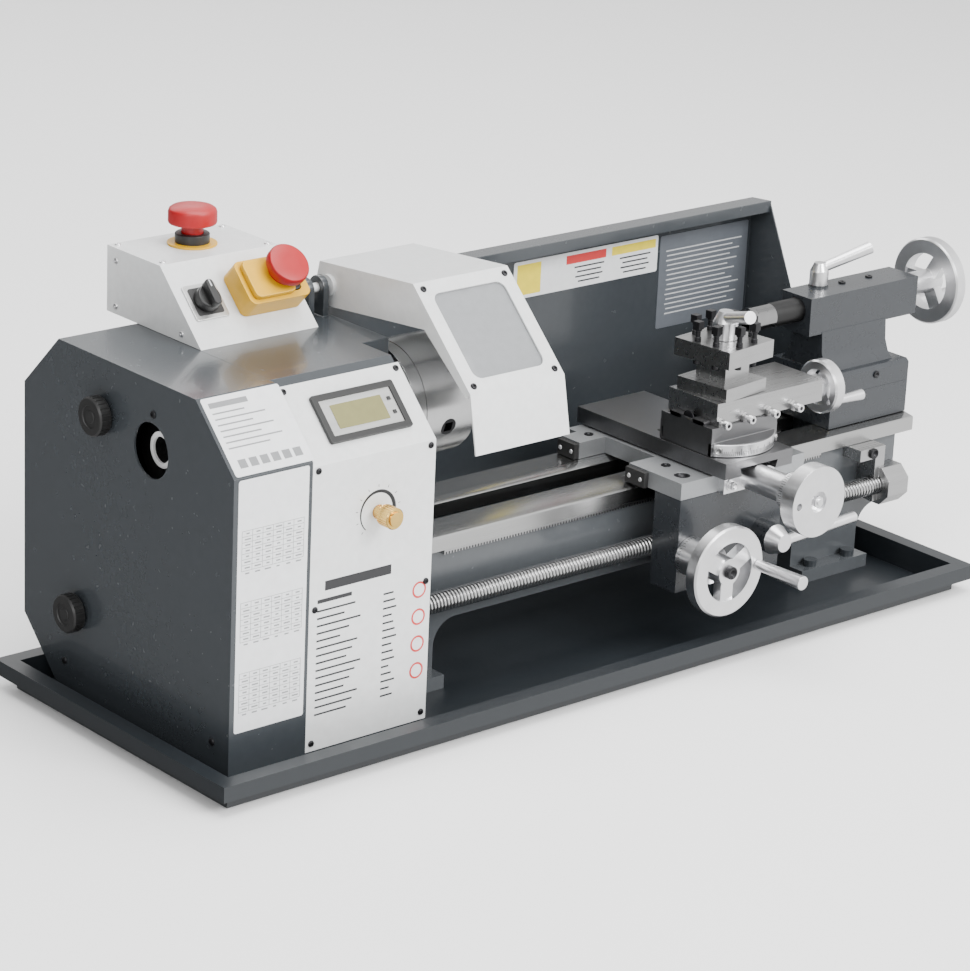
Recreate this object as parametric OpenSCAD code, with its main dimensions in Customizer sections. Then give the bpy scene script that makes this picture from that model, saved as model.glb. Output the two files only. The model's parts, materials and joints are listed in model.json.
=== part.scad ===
// Bench-top metal lathe with a chip tray, variable-speed headstock,
// carriage with cross slide and top slide, and a tailstock.
// Origin: centre of the chip tray's underside, on the plane of the spindle axis.
// +X runs from the headstock to the tailstock, -Y faces the operator, +Z is up.

/* [Chip tray] */
// Outside length of the tray
tray_l = 838; // [800:1:900]
// Outside width of the tray
tray_w = 311; // [305:1:360]
// Height of the tray's rim above its underside
tray_h = 24.8; // [20:0.1:30]
// Height of the outer turned-down lip
lip_h = 13; // [8:1:18]
// Width of the flat rim
rim_w = 14.6; // [10:0.1:18]
// Sheet thickness of the tray
tray_t = 2; // [1:0.1:3]

/* [Bed] */
// Width over both ways
bed_w = 100; // [90:1:110]
// Height of the ways above the tray's floor
bed_rise = 132.5; // [120:0.5:150]
// Left end of the bed
bed_x0 = -300; // [-303:1:-290]
// Right end of the bed
bed_x1 = 440; // [430:1:480]
// Thickness of the way slabs
way_t = 15; // [12:1:20]
// Wall thickness of the bed's webs
web_t = 8; // [6:1:10]
// Height of the arch under the bed, above the tray's floor
arch_h = 54; // [30:1:60]
// Corner radius of the arch
arch_r = 23; // [10:1:26]
// Right end of the left foot
foot_l_x1 = -122; // [-140:1:-110]
// Left end of the right foot
foot_r_x0 = 298; // [280:1:310]
// Right end of the right foot
foot_r_x1 = 381.5; // [370:0.5:395]
// How far the foot flanges stand out from the webs
flange_out = 15.8; // [14:0.1:17]
// Thickness of the foot flanges
flange_t = 12; // [8:1:16]

/* [Headstock] */
// Height of the spindle axis above the ways
centre_h = 105; // [100:1:112]
// Left face of the gear cover
cover_x0 = -382; // [-390:1:-376]
// Right edge of the gear cover
cover_x1 = -307; // [-312:0.5:-306]
// Left side of the headstock housing
house_x0 = -307; // [-312:0.5:-306]
// Right side of the headstock housing
house_x1 = -187; // [-190:1:-184]
// Front face of the headstock
house_front = 111.2; // [108:0.1:118]
// Rear face of the headstock
house_rear = 168.6; // [160:0.1:180]
// Top of the headstock above the tray's underside
house_top = 300.1; // [298:0.1:306]
// Size of the front upper slope
slope = 50; // [40:1:56]
// Size of the rear lower chamfer
rear_chamfer = 51; // [45:1:58]
// Sheet thickness of covers and panels
sheet = 1.6; // [1:0.1:2]

/* [Spindle and chuck] */
// Bore through the spindle
spindle_bore = 21; // [16:0.5:24]
// Outside diameter of the spindle's rear end
spindle_rear_d = 28; // [26:0.5:32]
// Spindle journal diameter in the bearings
journal_d = 40; // [36:1:44]
// Chuck diameter
chuck_d = 100; // [90:1:110]
// Length of the chuck body
chuck_l = 52; // [45:1:60]
// Thickness of the chuck's backplate
backplate_t = 12.3; // [8:0.1:16]
// Width of a chuck jaw
jaw_w = 14; // [10:0.5:18]

/* [Gears and belt] */
// Gear module
gear_m = 1.25; // [1.2:0.01:1.3]
// Face width of the gears
gear_w = 10; // [6:1:10]
// Spindle pulley diameter
pulley_d = 72; // [60:1:80]
// Motor pulley diameter
motor_pulley_d = 32; // [26:1:40]
// Belt width
belt_w = 10; // [8:1:12]
// Motor diameter
motor_d = 90; // [80:1:96]

/* [Carriage] */
// Left end of the saddle
saddle_x0 = 96.5; // [80:0.5:110]
// Saddle length along the bed
saddle_l = 147; // [130:1:160]
// Height of the saddle's top above the ways
saddle_h = 15.5; // [14:0.5:20]
// Front face of the saddle and apron
apron_front = 102.5; // [98:0.5:108]
// Thickness of the apron, front to back
apron_t = 32; // [26:1:32]
// Width of the apron
apron_w = 123; // [110:1:135]
// Bottom of the apron below the ways
apron_drop = 83.5; // [76:0.5:88]
// Lead screw diameter
screw_d = 16; // [12:0.5:16]
// Height of the lead screw below the ways
screw_drop = 53.3; // [50:0.1:58]
// Apron handwheel diameter
apron_wheel_d = 80; // [60:1:90]

/* [Slides and tool post] */
// Width of the cross slide
cross_w = 80; // [76:1:90]
// Length of the cross slide
cross_l = 187; // [170:1:200]
// Thickness of the cross slide
cross_t = 14.5; // [13:0.5:18]
// Cross slide handwheel diameter
cross_wheel_d = 62; // [50:1:66]
// Height of the compound's swivel base
swivel_h = 27; // [24:0.5:30]
// Length of the top slide
top_l = 121; // [110:1:130]
// Height of the top slide
top_h = 18.2; // [16:0.1:20]
// Top slide handwheel diameter
top_wheel_d = 48; // [40:1:52]
// Angle to which the tool post is turned
post_angle = 7; // [0:1:30]
// Side of the tool post's top plate
post_s = 60; // [54:1:64]
// Height of the tool slot
tool_slot = 18.7; // [14:0.1:20]

/* [Tailstock] */
// Left end of the tailstock base
tail_x0 = 340; // [330:1:350]
// Length of the tailstock base
tail_l = 100; // [90:1:110]
// Width of the tailstock base
tail_w = 78; // [70:1:90]
// Height of the tailstock base
tail_base_h = 50.5; // [46:0.5:54]
// Width of the barrel housing
barrel_w = 37; // [34:0.5:42]
// Quill diameter
quill_d = 22; // [20:0.5:24]
// Tailstock handwheel diameter
tail_wheel_d = 80; // [60:1:90]

/* [Guards] */
// Left side of the chuck guard
hood_x0 = -154; // [-156:1:-150]
// Width of the chuck guard
hood_w = 99; // [90:1:110]
// Right end of the splash guard
splash_x1 = 401.5; // [390:0.5:404]
// Distance of the splash guard behind the spindle axis
splash_y = 135; // [130:0.5:139]
// Height of the splash guard's top
splash_h = 302; // [280:1:310]

/* [Hidden] */
$fn = 48;
eps = 0.01;
slack = 0.3;       // gap between pieces that slide past each other
run = 0.05;        // radial running clearance of shafts
floor_z = tray_t;
way_z = floor_z + bed_rise;
axis_z = way_z + centre_h;
web_y = bed_w/2 - 6;
foot_y = web_y + flange_out;
saddle_x1 = saddle_x0 + saddle_l;
saddle_cx = saddle_x0 + saddle_l/2;
saddle_top = way_z + saddle_h;
screw_y = -61.5;
screw_z = way_z - screw_drop;
screw_r = screw_d/2;
screw_end_r = 6;
chuck_r = chuck_d/2;
plate_x0 = -155;                       // back face of the chuck's backplate
chuck_x0 = plate_x0 + backplate_t;
chuck_x1 = chuck_x0 + chuck_l;
spindle_x0 = -366.6;
cover_prof = [[-house_front, floor_z + 1], [house_rear - rear_chamfer, floor_z + 1],
    [house_rear, floor_z + 1 + rear_chamfer], [house_rear, house_top - 48],
    [house_rear - 48, house_top], [slope - house_front, house_top],
    [-house_front, house_top - slope]];
panel_in = 3.1;                        // the panel's slope lies this far below the cover's
panel_a = [-house_front, house_top - slope - panel_in - 1.3];
panel_b = [slope - house_front, house_top - panel_in - 1.2];
house_c = panel_a.y - panel_a.x - sheet*sqrt(2) - 0.05;
house_prof = [[-house_front + sheet, floor_z + 1], [house_rear - rear_chamfer, floor_z + 1],
    [house_rear, floor_z + 1 + rear_chamfer], [house_rear, house_top - 48],
    [house_rear - 48, house_top], [house_top - house_c, house_top],
    [-house_front + sheet, house_c - house_front + sheet]];
// gear train, in the plane of the gears: [teeth, centre, phase]
z_spin = 40;
z_tumb = 45;
z_stud = 72;
z_pair = 36;
z_lead = 60;
spin_c = [0, axis_z];
lead_c = [screw_y, screw_z];
tumb_c = spin_c + polar((z_spin + z_tumb)/2*gear_m, -100);
stud_c = apex(tumb_c, lead_c, (z_tumb + z_stud)/2*gear_m, (z_pair + z_lead)/2*gear_m);
tumb_phase = mesh_phase(bearing_to(spin_c, tumb_c), z_spin, 0, z_tumb);
stud_phase = mesh_phase(bearing_to(tumb_c, stud_c), z_tumb, tumb_phase, z_stud);
lead_phase = mesh_phase(bearing_to(stud_c, lead_c), z_pair, stud_phase, z_lead);
gear_x = -332;                         // left face of the first gear plane
pair_x = gear_x - gear_w - 2;
stud_r = 6;
belt_x = -360;
belt_t = 3;
motor_c = [108, 112];
motor_x0 = -300;
motor_x1 = -196;
shaft_r = 7;
// carriage
cross_cx = saddle_cx;
cross_y0 = -120;
cross_z0 = saddle_top + 1.5;
cross_top = cross_z0 + cross_t;
dove_h = 8.5;
dove_w = 44;
cross_screw_z = saddle_top - 4;
boss_r = 12.4;
comp_c = [cross_cx, -68.5];
comp_w = 78;
comp_d = 63;
swivel_r = 48;
top_z0 = cross_top + swivel_h;
top_z1 = top_z0 + top_h;
top_x0 = cross_cx - 31;
top_x1 = top_x0 + top_l;
top_d = 59.5;
top_screw_z = top_z0 - 0.5;
base_plate_t = 11.8;
post_plate_t = 15.5;
neck_s = 32;
post_z0 = top_z1;
post_z1 = post_z0 + base_plate_t + tool_slot + post_plate_t;
stud_top = post_z1 + 12;
wheel_x = 111;
wheel_z = way_z - 51.5;
lever_x = 194;
lever_z = way_z - 48.5;
// tailstock
tail_x1 = tail_x0 + tail_l;
barrel_x0 = 328;
barrel_x1 = 460;
barrel_z0 = axis_z - 21.3;
barrel_z1 = axis_z + 13.8;
barrel_shift = 0.8;
quill_x0 = 266;
quill_x1 = 426;
tail_screw_r = 5;
tail_wheel_x = 496;
lock_x = 364;
lock_y = 11;
clamp_x = 385;

// ---------- helpers ----------
function polar(r, a) = [r*cos(a), r*sin(a)];
function bearing_to(p, q) = atan2(q.y - p.y, q.x - p.x);
function unit(v) = v/norm(v);
function line_hit(p, d, q, e) = p + d*(((q - p).x*e.y - (q - p).y*e.x)/(d.x*e.y - d.y*e.x));
// Point at distance rp from p and rq from q, on the right of the line p-q
function apex(p, q, rp, rq) = let (d = norm(q - p), a = (rp*rp - rq*rq + d*d)/(2*d),
    h = sqrt(rp*rp - a*a), u = unit(q - p)) p + u*a + [-u.y, u.x]*h;
// Outline moved inward by t, for a convex outline drawn anticlockwise
function inset(poly, t) = let (n = len(poly)) [for (i = [0:n - 1])
    let (a = poly[(i + n - 1)%n], b = poly[i], c = poly[(i + 1)%n], d1 = unit(b - a), d2 = unit(c - b))
    line_hit(a + t*[-d1.y, d1.x], d1, b + t*[-d2.y, d2.x], d2)];
function mesh_phase(theta, z1, phi1, z2) =
    theta + 180 - (0.5 - (theta - phi1)*z1/360)*360/z2;
// Outline of a gear with straight-flanked teeth
function gear_outline(z, phase) = let (rp = gear_m*z/2, ro = rp + gear_m*0.95,
    rr = rp - gear_m*1.2, p = 360/z) [for (i = [0:z - 1]) for (k = [[rr, -0.3], [ro, -0.115],
    [ro, 0.115], [rr, 0.3]]) polar(k[0], phase + (i + k[1])*p)];
// Closed loop round two pulleys
function loop_outline(c1, r1, c2, r2, n) = let (a = bearing_to(c1, c2), f = acos((r1 - r2)/norm(c2 - c1)))
    concat([for (i = [0:n]) c1 + polar(r1, a + f + (360 - 2*f)*i/n)],
           [for (i = [0:n]) c2 + polar(r2, a - f + 2*f*i/n)]);

// Extrudes an outline drawn in (Y, Z) from x0 to x1
module along_x(x0, x1) { translate([x0, 0, 0]) rotate([90, 0, 90]) linear_extrude(x1 - x0) children(); }
// Extrudes an outline drawn in (X, Z) from y0 to y1
module along_y(y0, y1) { translate([0, y1, 0]) rotate([90, 0, 0]) linear_extrude(y1 - y0) children(); }
module box(a, b) { translate(a) cube(b - a); }
module rod_x(x0, x1, r, y = 0, z = 0) {
    translate([x0, y, z]) rotate([0, 90, 0]) cylinder(h = x1 - x0, r = r);
}
module rod_y(y0, y1, r, x = 0, z = 0) {
    translate([x, y1, z]) rotate([90, 0, 0]) cylinder(h = y1 - y0, r = r);
}
module rod_z(z0, z1, r, x = 0, y = 0) { translate([x, y, z0]) cylinder(h = z1 - z0, r = r); }
// Flat outline with rounded corners, centred on the origin
module rounded(w, h, r) {
    square([w - 2*r, h], center = true);
    square([w, h - 2*r], center = true);
    for (sx = [-1, 1], sy = [-1, 1]) translate([sx*(w/2 - r), sy*(h/2 - r)]) circle(r = r);
}
// Places children on the front slope of the headstock's panel, up-slope along +Y
panel_ang = bearing_to(panel_a, panel_b);
module on_panel(x, s) {
    p = panel_a + unit(panel_b - panel_a)*s;
    translate([x, p.x, p.y]) rotate([panel_ang, 0, 0]) children();
}
// Places children on the front slope of the control box, up-slope along +Y
box_top = house_top + 55.5;
box_a = [34, house_top];
box_b = [90.6, box_top];
box_ang = bearing_to(box_a, box_b);
box_x0 = -306.5;
box_x1 = -189.5;
box_rear = 163;
module on_box(x, s) {
    p = box_a + unit(box_b - box_a)*s;
    translate([x, p.x, p.y]) rotate([box_ang, 0, 0]) children();
}

// ---------- tray and bed ----------
module chip_tray() {
    in_l = tray_l - 2*rim_w;
    in_w = tray_w - 2*rim_w;
    color("dimgray") difference() {
        union() {
            box([-in_l/2 - tray_t, -in_w/2 - tray_t, 0], [in_l/2 + tray_t, in_w/2 + tray_t, tray_h]);
            box([-tray_l/2, -tray_w/2, tray_h - lip_h], [tray_l/2, tray_w/2, tray_h]);
        }
        box([-in_l/2, -in_w/2, floor_z], [in_l/2, in_w/2, tray_h + 1]);
        difference() {
            box([-tray_l/2 + tray_t, -tray_w/2 + tray_t, -1], [tray_l/2 - tray_t, tray_w/2 - tray_t, tray_h - tray_t]);
            box([-in_l/2 - tray_t, -in_w/2 - tray_t, -2], [in_l/2 + tray_t, in_w/2 + tray_t, tray_h]);
        }
        foot_holes(-1, floor_z + 1);
    }
}
bolt_r = 4;
bolt_y = web_y + flange_out/2;
foot_bolt_x = [bed_x0 + 40, foot_l_x1 - 30, foot_r_x0 + 18, foot_r_x1 - 18];
module foot_holes(z0, z1) {
    for (x = foot_bolt_x, s = [-1, 1]) rod_z(z0, z1, bolt_r + 0.3, x, s*bolt_y);
}
// Side wall of the bed with its two feet and the arch between them
module web_outline() {
    top = way_z - way_t + 1;
    difference() {
        union() {
            translate([bed_x0, floor_z + arch_h]) square([bed_x1 - 16 - bed_x0, top - floor_z - arch_h]);
            translate([bed_x0, floor_z]) square([foot_l_x1 - bed_x0, top - floor_z]);
            translate([foot_r_x0, floor_z]) square([foot_r_x1 - foot_r_x0, top - floor_z]);
            translate([foot_l_x1 - eps, floor_z + arch_h - arch_r]) square(arch_r + eps);
            translate([foot_r_x0 - arch_r, floor_z + arch_h - arch_r]) square(arch_r + eps);
            translate([foot_r_x1 - eps, floor_z + arch_h - arch_r]) square(arch_r + eps);
        }
        translate([foot_l_x1 + arch_r, floor_z + arch_h - arch_r]) circle(r = arch_r);
        translate([foot_r_x0 - arch_r, floor_z + arch_h - arch_r]) circle(r = arch_r);
        translate([foot_r_x1 + arch_r, floor_z + arch_h - arch_r]) circle(r = arch_r);
    }
}
// Cross sections of the two ways, drawn in (Y, Z)
front_way = [[-bed_w/2, way_z - way_t], [-19, way_z - way_t], [-19, way_z],
    [-36, way_z], [-bed_w/2 + 1, way_z - 2], [-bed_w/2, way_z - 3]];
rear_way = [[15, way_z - way_t], [bed_w/2, way_z - way_t], [bed_w/2, way_z],
    [24.3, way_z], [15, way_z - 3.5]];
module bed() {
    color("slategray") difference() {
        union() {
            along_x(bed_x0, bed_x1) polygon(front_way);
            along_x(bed_x0, bed_x1) polygon(rear_way);
            along_y(-web_y, -web_y + web_t) web_outline();
            along_y(web_y - web_t, web_y) web_outline();
            for (x = [bed_x0 : 120 : bed_x1 - 30])
                box([x, -web_y + 1, floor_z + arch_h], [x + web_t, web_y - 1, way_z - way_t - 16]);
            for (f = [[bed_x0, foot_l_x1], [foot_r_x0, foot_r_x1]]) {
                box([f[0], -foot_y, floor_z], [f[1], foot_y, floor_z + flange_t]);
                for (x = [f[0], f[1] - web_t])
                    box([x, -web_y + 1, floor_z], [x + web_t, web_y - 1, floor_z + arch_h + 10]);
            }
        }
        foot_holes(floor_z - 1, floor_z + flange_t + 1);
    }
}
rack_m = 1;
rack_x0 = -118;
rack_teeth = 140;
rack_x1 = rack_x0 + rack_teeth*PI*rack_m;
rack_z0 = way_z - way_t - 4.2;
module feed_rack() {
    p = PI*rack_m;
    pts = concat([for (i = [0:rack_teeth - 1]) for (k = [[0, 0], [0.34, 0], [0.5, 2.2], [0.84, 2.2]])
        [rack_x0 + (i + k[0])*p, rack_z0 + k[1]]], [[rack_x1, rack_z0], [rack_x1, way_z - way_t], [rack_x0, way_z - way_t]]);
    color("silver") along_y(-bed_w/2 + 0.8, -web_y) polygon(pts);
}
module bed_fasteners() {
    color("dimgray") {
        for (x = foot_bolt_x, s = [-1, 1]) {
            rod_z(0.4, floor_z + flange_t, bolt_r, x, s*bolt_y);
            rod_z(floor_z + flange_t, floor_z + flange_t + 6, 6.2, x, s*bolt_y);
        }
    }
}

// ---------- headstock ----------
bearing_front = [-206, -190];
bearing_rear = [-300, -286];
bearing_r = journal_d/2 + 11;
module headstock_casting() {
    color("slategray") difference() {
        union() {
            box([bed_x0, -44, way_z], [house_x1 - 2.2, 58, axis_z + 54]);
            box([-205, -17, axis_z + 38], [-158, 84, house_top - 2.4]);
            box([house_x1 + 0.6, -17, axis_z + 38], [-158, 84, house_top - 0.6]);
            for (x = [-183, -168]) hinge_ear(x, x + 6);
        }
        rod_x(-320, -150, journal_d/2 + 6, 0, axis_z);
        for (b = [bearing_front, bearing_rear])
            rod_x(b[0] - (b == bearing_rear ? 5 : 0), b[1] + (b == bearing_front ? 5 : 0), bearing_r, 0, axis_z);
        rod_x(-190, -150, hinge_r + run, hinge_y, hinge_z);
    }
}
hinge_y = 66;
hinge_z = 322;
hinge_r = 4;
module hinge_ear(x0, x1) {
    along_x(x0, x1) {
        translate([hinge_y, hinge_z]) circle(r = 10);
        translate([hinge_y - 10, house_top - 2]) square([20, hinge_z - house_top + 2]);
    }
}
module headstock_housing() {
    color("slategray") difference() {
        along_x(house_x0, house_x1) polygon(house_prof);
        along_x(house_x0 + 2, house_x1 - 2) polygon(inset(house_prof, 2));
        box([house_x0 + 4, -foot_y - 1, -1], [house_x1 + 5, foot_y + 1, way_z + 0.5]);
        box([house_x0 - 5, -47, floor_z + 8], [house_x0 + 5, 47, way_z + 0.5]);
        rod_x(house_x0 - 5, house_x0 + 5, 26, 0, axis_z);
        rod_x(house_x1 - 5, house_x1 + 5, 40, 0, axis_z);
        for (x = [house_x0 - 5, house_x1 - 5]) rod_x(x, x + 10, screw_r + 2, screw_y, screw_z);
        rod_x(house_x0 - 5, house_x0 + 5, shaft_r + 3, motor_c.x, motor_c.y);
        rod_y(-house_front, -house_front + 8, 6, dial.x, dial.y);
        box([house_x1 - 5, -18, axis_z + 27], [house_x1 + 5, 85, house_top - 2]);
    }
}
module ring_x(x0, x1, ro, ri, y, z) {
    difference() {
        rod_x(x0, x1, ro, y, z);
        rod_x(x0 - 1, x1 + 1, ri, y, z);
    }
}
module bearings() {
    color("silver") {
        for (b = [bearing_front, bearing_rear])
            ring_x(b[0], b[1], bearing_r, journal_d/2 + run, 0, axis_z);
        for (b = [left_bracket, right_bracket])
            ring_x(b[0], b[1], screw_end_r + 4, screw_end_r + run, screw_y, screw_z);
    }
}
left_bracket = [-300, -288];
right_bracket = [388, 402];
module leadscrew_brackets() {
    color("dimgray") {
        difference() {
            union() {
                box([left_bracket[0], screw_y - 14, screw_z - 16], [left_bracket[1], -web_y, screw_z + 16]);
            }
            rod_x(left_bracket[0] - 1, left_bracket[1] + 1, screw_end_r + 4, screw_y, screw_z);
        }
        difference() {
            union() {
                box([356, -66, screw_z + 27], [388, -web_y, screw_z + 38]);
                box([376, -66, screw_z - 14], [388, -web_y, screw_z + 30]);
                translate([382, screw_y, screw_z]) rotate([0, 90, 0]) rotate(22.5) cylinder(h = 26, r = 18.9, $fn = 8);
            }
            rod_x(370, 387.9, screw_r + 1, screw_y, screw_z);
            rod_x(387, 406.6, screw_end_r + 4, screw_y, screw_z);
        }
    }
}
module spindle() {
    color("silver") difference() {
        union() {
            rod_x(spindle_x0, bearing_rear[0], spindle_rear_d/2, 0, axis_z);
            rod_x(bearing_rear[0], bearing_front[1], journal_d/2, 0, axis_z);
            rod_x(bearing_front[1], -168, 24, 0, axis_z);
            rod_x(-168, plate_x0, 36, 0, axis_z);
        }
        rod_x(spindle_x0 - 1, plate_x0 + 1, spindle_bore/2, 0, axis_z);
    }
}
module gear(x0, z, c, phase, bore) {
    difference() {
        along_x(x0, x0 + gear_w) translate(c) polygon(gear_outline(z, phase));
        rod_x(x0 - 1, x0 + gear_w + 1, bore, c.x, c.y);
    }
}
module pulley(x0, r, bore, c) {
    difference() {
        union() {
            rod_x(x0, x0 + belt_w, r, c.x, c.y);
            rod_x(x0 - 1, x0, r + 2, c.x, c.y);
            rod_x(x0 + belt_w, x0 + belt_w + 1, r + 2, c.x, c.y);
        }
        rod_x(x0 - 2, x0 + belt_w + 2, bore, c.x, c.y);
    }
}
module spindle_drive() {
    color("darkgray") {
        pulley(belt_x, pulley_d/2, spindle_rear_d/2, spin_c);
        gear(gear_x, z_spin, spin_c, 0, spindle_rear_d/2);
    }
}
module motor_pulley() {
    color("darkgray") {
        pulley(belt_x, motor_pulley_d/2, shaft_r, motor_c);
        rod_x(belt_x - 2, motor_x0 + 10, shaft_r, motor_c.x, motor_c.y);
    }
}
module drive_belt() {
    color("#222222") along_x(belt_x + 0.5, belt_x + belt_w - 0.5) difference() {
        polygon(loop_outline(spin_c, pulley_d/2 + slack + belt_t, motor_c, motor_pulley_d/2 + slack + belt_t, 40));
        polygon(loop_outline(spin_c, pulley_d/2 + slack, motor_c, motor_pulley_d/2 + slack, 40));
    }
}
module motor() {
    color("#333333") difference() {
        union() {
            rod_x(motor_x0, motor_x1, motor_d/2, motor_c.x, motor_c.y);
            box([motor_x0 + 10, web_y, motor_c.y - 12], [motor_x1 - 10, 72, motor_c.y + 7]);
        }
        rod_x(motor_x0 - 1, motor_x0 + 14, shaft_r + run, motor_c.x, motor_c.y);
    }
}
module tumbler_gear() { color("darkgray") gear(gear_x, z_tumb, tumb_c, tumb_phase, stud_r + run); }
module change_gears() {
    color("darkgray") {
        gear(gear_x, z_stud, stud_c, stud_phase, stud_r + run);
        gear(pair_x, z_pair, stud_c, stud_phase, stud_r + run);
        ring_x(pair_x + gear_w, gear_x, stud_r + 4, stud_r + run, stud_c.x, stud_c.y);
    }
}
// Slotted quadrant that carries the gear studs, bolted to the housing's left side
module gear_quadrant() {
    color("gray") {
        difference() {
            union() {
                for (c = [tumb_c, stud_c]) rod_x(-314, house_x0, 14, c.x, c.y);
                rod_x(-314, house_x0, 24, lead_c.x, lead_c.y);
                along_x(-314, house_x0) for (e = [[lead_c, stud_c], [stud_c, tumb_c]]) bar(e[0], e[1], 18);
            }
            rod_x(-315, house_x0 + 1, screw_end_r + 5, lead_c.x, lead_c.y);
        }
        rod_x(gear_x - 3, -314, stud_r, tumb_c.x, tumb_c.y);
        rod_x(pair_x - 3, -314, stud_r, stud_c.x, stud_c.y);
    }
}
module bar(p, q, w) { translate(p) rotate(bearing_to(p, q)) translate([0, -w/2]) square([norm(q - p), w]); }
module lead_screw() {
    color("silver") {
        rod_x(left_bracket[1], right_bracket[0] - slack, screw_r, screw_y, screw_z);
        rod_x(pair_x - 4, left_bracket[1], screw_end_r, screw_y, screw_z);
        rod_x(right_bracket[0] - slack, right_bracket[1] + 4, screw_end_r, screw_y, screw_z);
        gear(pair_x, z_lead, lead_c, lead_phase, screw_end_r);
    }
}

// ---------- covers, panel and controls ----------
cover_hole = [-5, 243];
cover_hole_r = 22.5;
knob_u = [58, 255];
knob_l = [92, 79];
knob_r = 16;
module end_cover() {
    color("slategray") difference() {
        along_x(cover_x0, cover_x1) polygon(cover_prof);
        along_x(cover_x0 + 2, cover_x1 + 1) polygon(inset(cover_prof, 2));
        rod_x(cover_x0 - 1, cover_x0 + 4, cover_hole_r, cover_hole.x, cover_hole.y);
        rod_x(cover_x0 - 1, cover_x0 + 4, 2.5, -8, 273);
        for (k = [knob_u, knob_l]) rod_x(cover_x0 - 1, cover_x0 + 4, 4 + run, k.x, k.y);
    }
}
module cover_knob(c) {
    color("#1c1c1c") {
        rod_x(cover_x0 - 14, cover_x0 - 3, knob_r, c.x, c.y);
        rod_x(cover_x0 - 3, cover_x0 - 0.3, 11, c.x, c.y);
        rod_x(cover_x0 - 0.3, cover_x0 + 12, 4, c.x, c.y);
    }
}
module cover_knob_upper() { cover_knob(knob_u); }
module cover_knob_lower() { cover_knob(knob_l); }
dial = [-241.5, 197];
module front_panel() {
    outer = [[-house_front, 8.7], panel_a, panel_b];
    inner = [[-house_front + sheet, 8.7], [-house_front + sheet, house_c + 0.05 - house_front + sheet],
        panel_b + [1, -1]*sheet/sqrt(2)];
    color("white") difference() {
        along_x(house_x0, house_x1 + 2.3) polygon(concat(outer, [inner[2], inner[1], inner[0]]));
        rod_y(-house_front - 3, -house_front + 6, 4.2, dial.x, dial.y);
    }
}
module display_bezel() {
    color("#181818") on_panel(-242, 35.5) translate([0, 0, 0.05]) difference() {
        linear_extrude(3.2) rounded(81, 42, 2);
        translate([0, 0, 1.4]) linear_extrude(4) square([70, 31], center = true);
    }
}
module speed_knob() {
    color("#c9a24a") {
        rod_y(-house_front - 23, -house_front - 8, 8, dial.x, dial.y);
        rod_y(-house_front - 8, -house_front - 0.3, 6, dial.x, dial.y);
        rod_y(-house_front - 0.3, -house_front + 6, 4.1, dial.x, dial.y);
    }
}
estop = [-247, 128.8];
module control_box() {
    prof = [[box_a.x, box_a.y], [box_rear, house_top], [box_rear, box_top], box_b];
    color("gainsboro") difference() {
        along_x(box_x0, box_x1) polygon(prof);
        along_x(box_x0 + 2, box_x1 - 2) polygon(inset(prof, 2));
        rod_z(box_top - 6, box_top + 3, 11.2, estop.x, estop.y);
    }
}
module estop_collar() {
    color("gold") difference() {
        union() {
            rod_z(box_top, box_top + 1.6, 20.5, estop.x, estop.y);
            rod_z(box_top + 1.6, box_top + 8, 14, estop.x, estop.y);
            rod_z(box_top - 6, box_top, 11.2, estop.x, estop.y);
        }
        rod_z(box_top - 7, box_top + 9, 9 + run, estop.x, estop.y);
    }
}
module estop_button() {
    color("red") {
        rod_z(box_top - 1, box_top + 17, 9, estop.x, estop.y);
        rod_z(box_top + 14, box_top + 18, 13, estop.x, estop.y);
        translate([estop.x, estop.y, box_top + 17.6]) intersection() {
            cylinder(h = 15.8, r = 20);
            translate([0, 0, -34.2]) sphere(r = 50, $fn = 96);
        }
    }
}
turn_x = -282;
turn_s = 41;
module direction_knob() {
    color("#1c1c1c") on_box(turn_x, turn_s) {
        translate([0, 0, 0.3]) cylinder(h = 9, r = 11);
        translate([0, 0, 9.3]) linear_extrude(7) rounded(7, 23, 3);
    }
}
sw_x = -226;
sw_s = 41;
sw_w = 60;
sw_h = 40;
sw_t = 20;
module switch_housing() {
    color("gold") on_box(sw_x, sw_s) difference() {
        linear_extrude(sw_t) rounded(sw_w, sw_h, 6);
        translate([0, 0, sw_t - 5]) linear_extrude(6) rounded(sw_w - 14, sw_h - 12, 4);
    }
}
module switch_paddle() {
    color("red") on_box(sw_x, sw_s) {
        translate([-6, 0, sw_t + 0.4]) linear_extrude(5) rounded(40, sw_h - 6, 5);
        translate([8, 2, sw_t + 5.4]) cylinder(h = 5, r = 14);
        translate([8, 2, sw_t + 10.4]) cylinder(h = 9, r = 18);
    }
}

// ---------- guards ----------
module splash_guard() {
    t = sheet;
    y = splash_y;
    prof = [[y, floor_z], [y + t, floor_z], [y + t, splash_h + t - 2], [y - 22, splash_h + t],
        [y - 22 - t, splash_h + t], [y - 22 - t, splash_h - 9], [y - 22, splash_h - 9],
        [y - 22, splash_h], [y, splash_h - 2]];
    wing = [[y, floor_z], [y, splash_h - 1], [y - 22 - t, splash_h - 1], [65, 200], [65, floor_z]];
    color("slategray") {
        along_x(-180, splash_x1) polygon(prof);
        along_x(splash_x1 - t, splash_x1) polygon([wing[0], wing[1], wing[2], wing[3], wing[4]]);
    }
}
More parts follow.
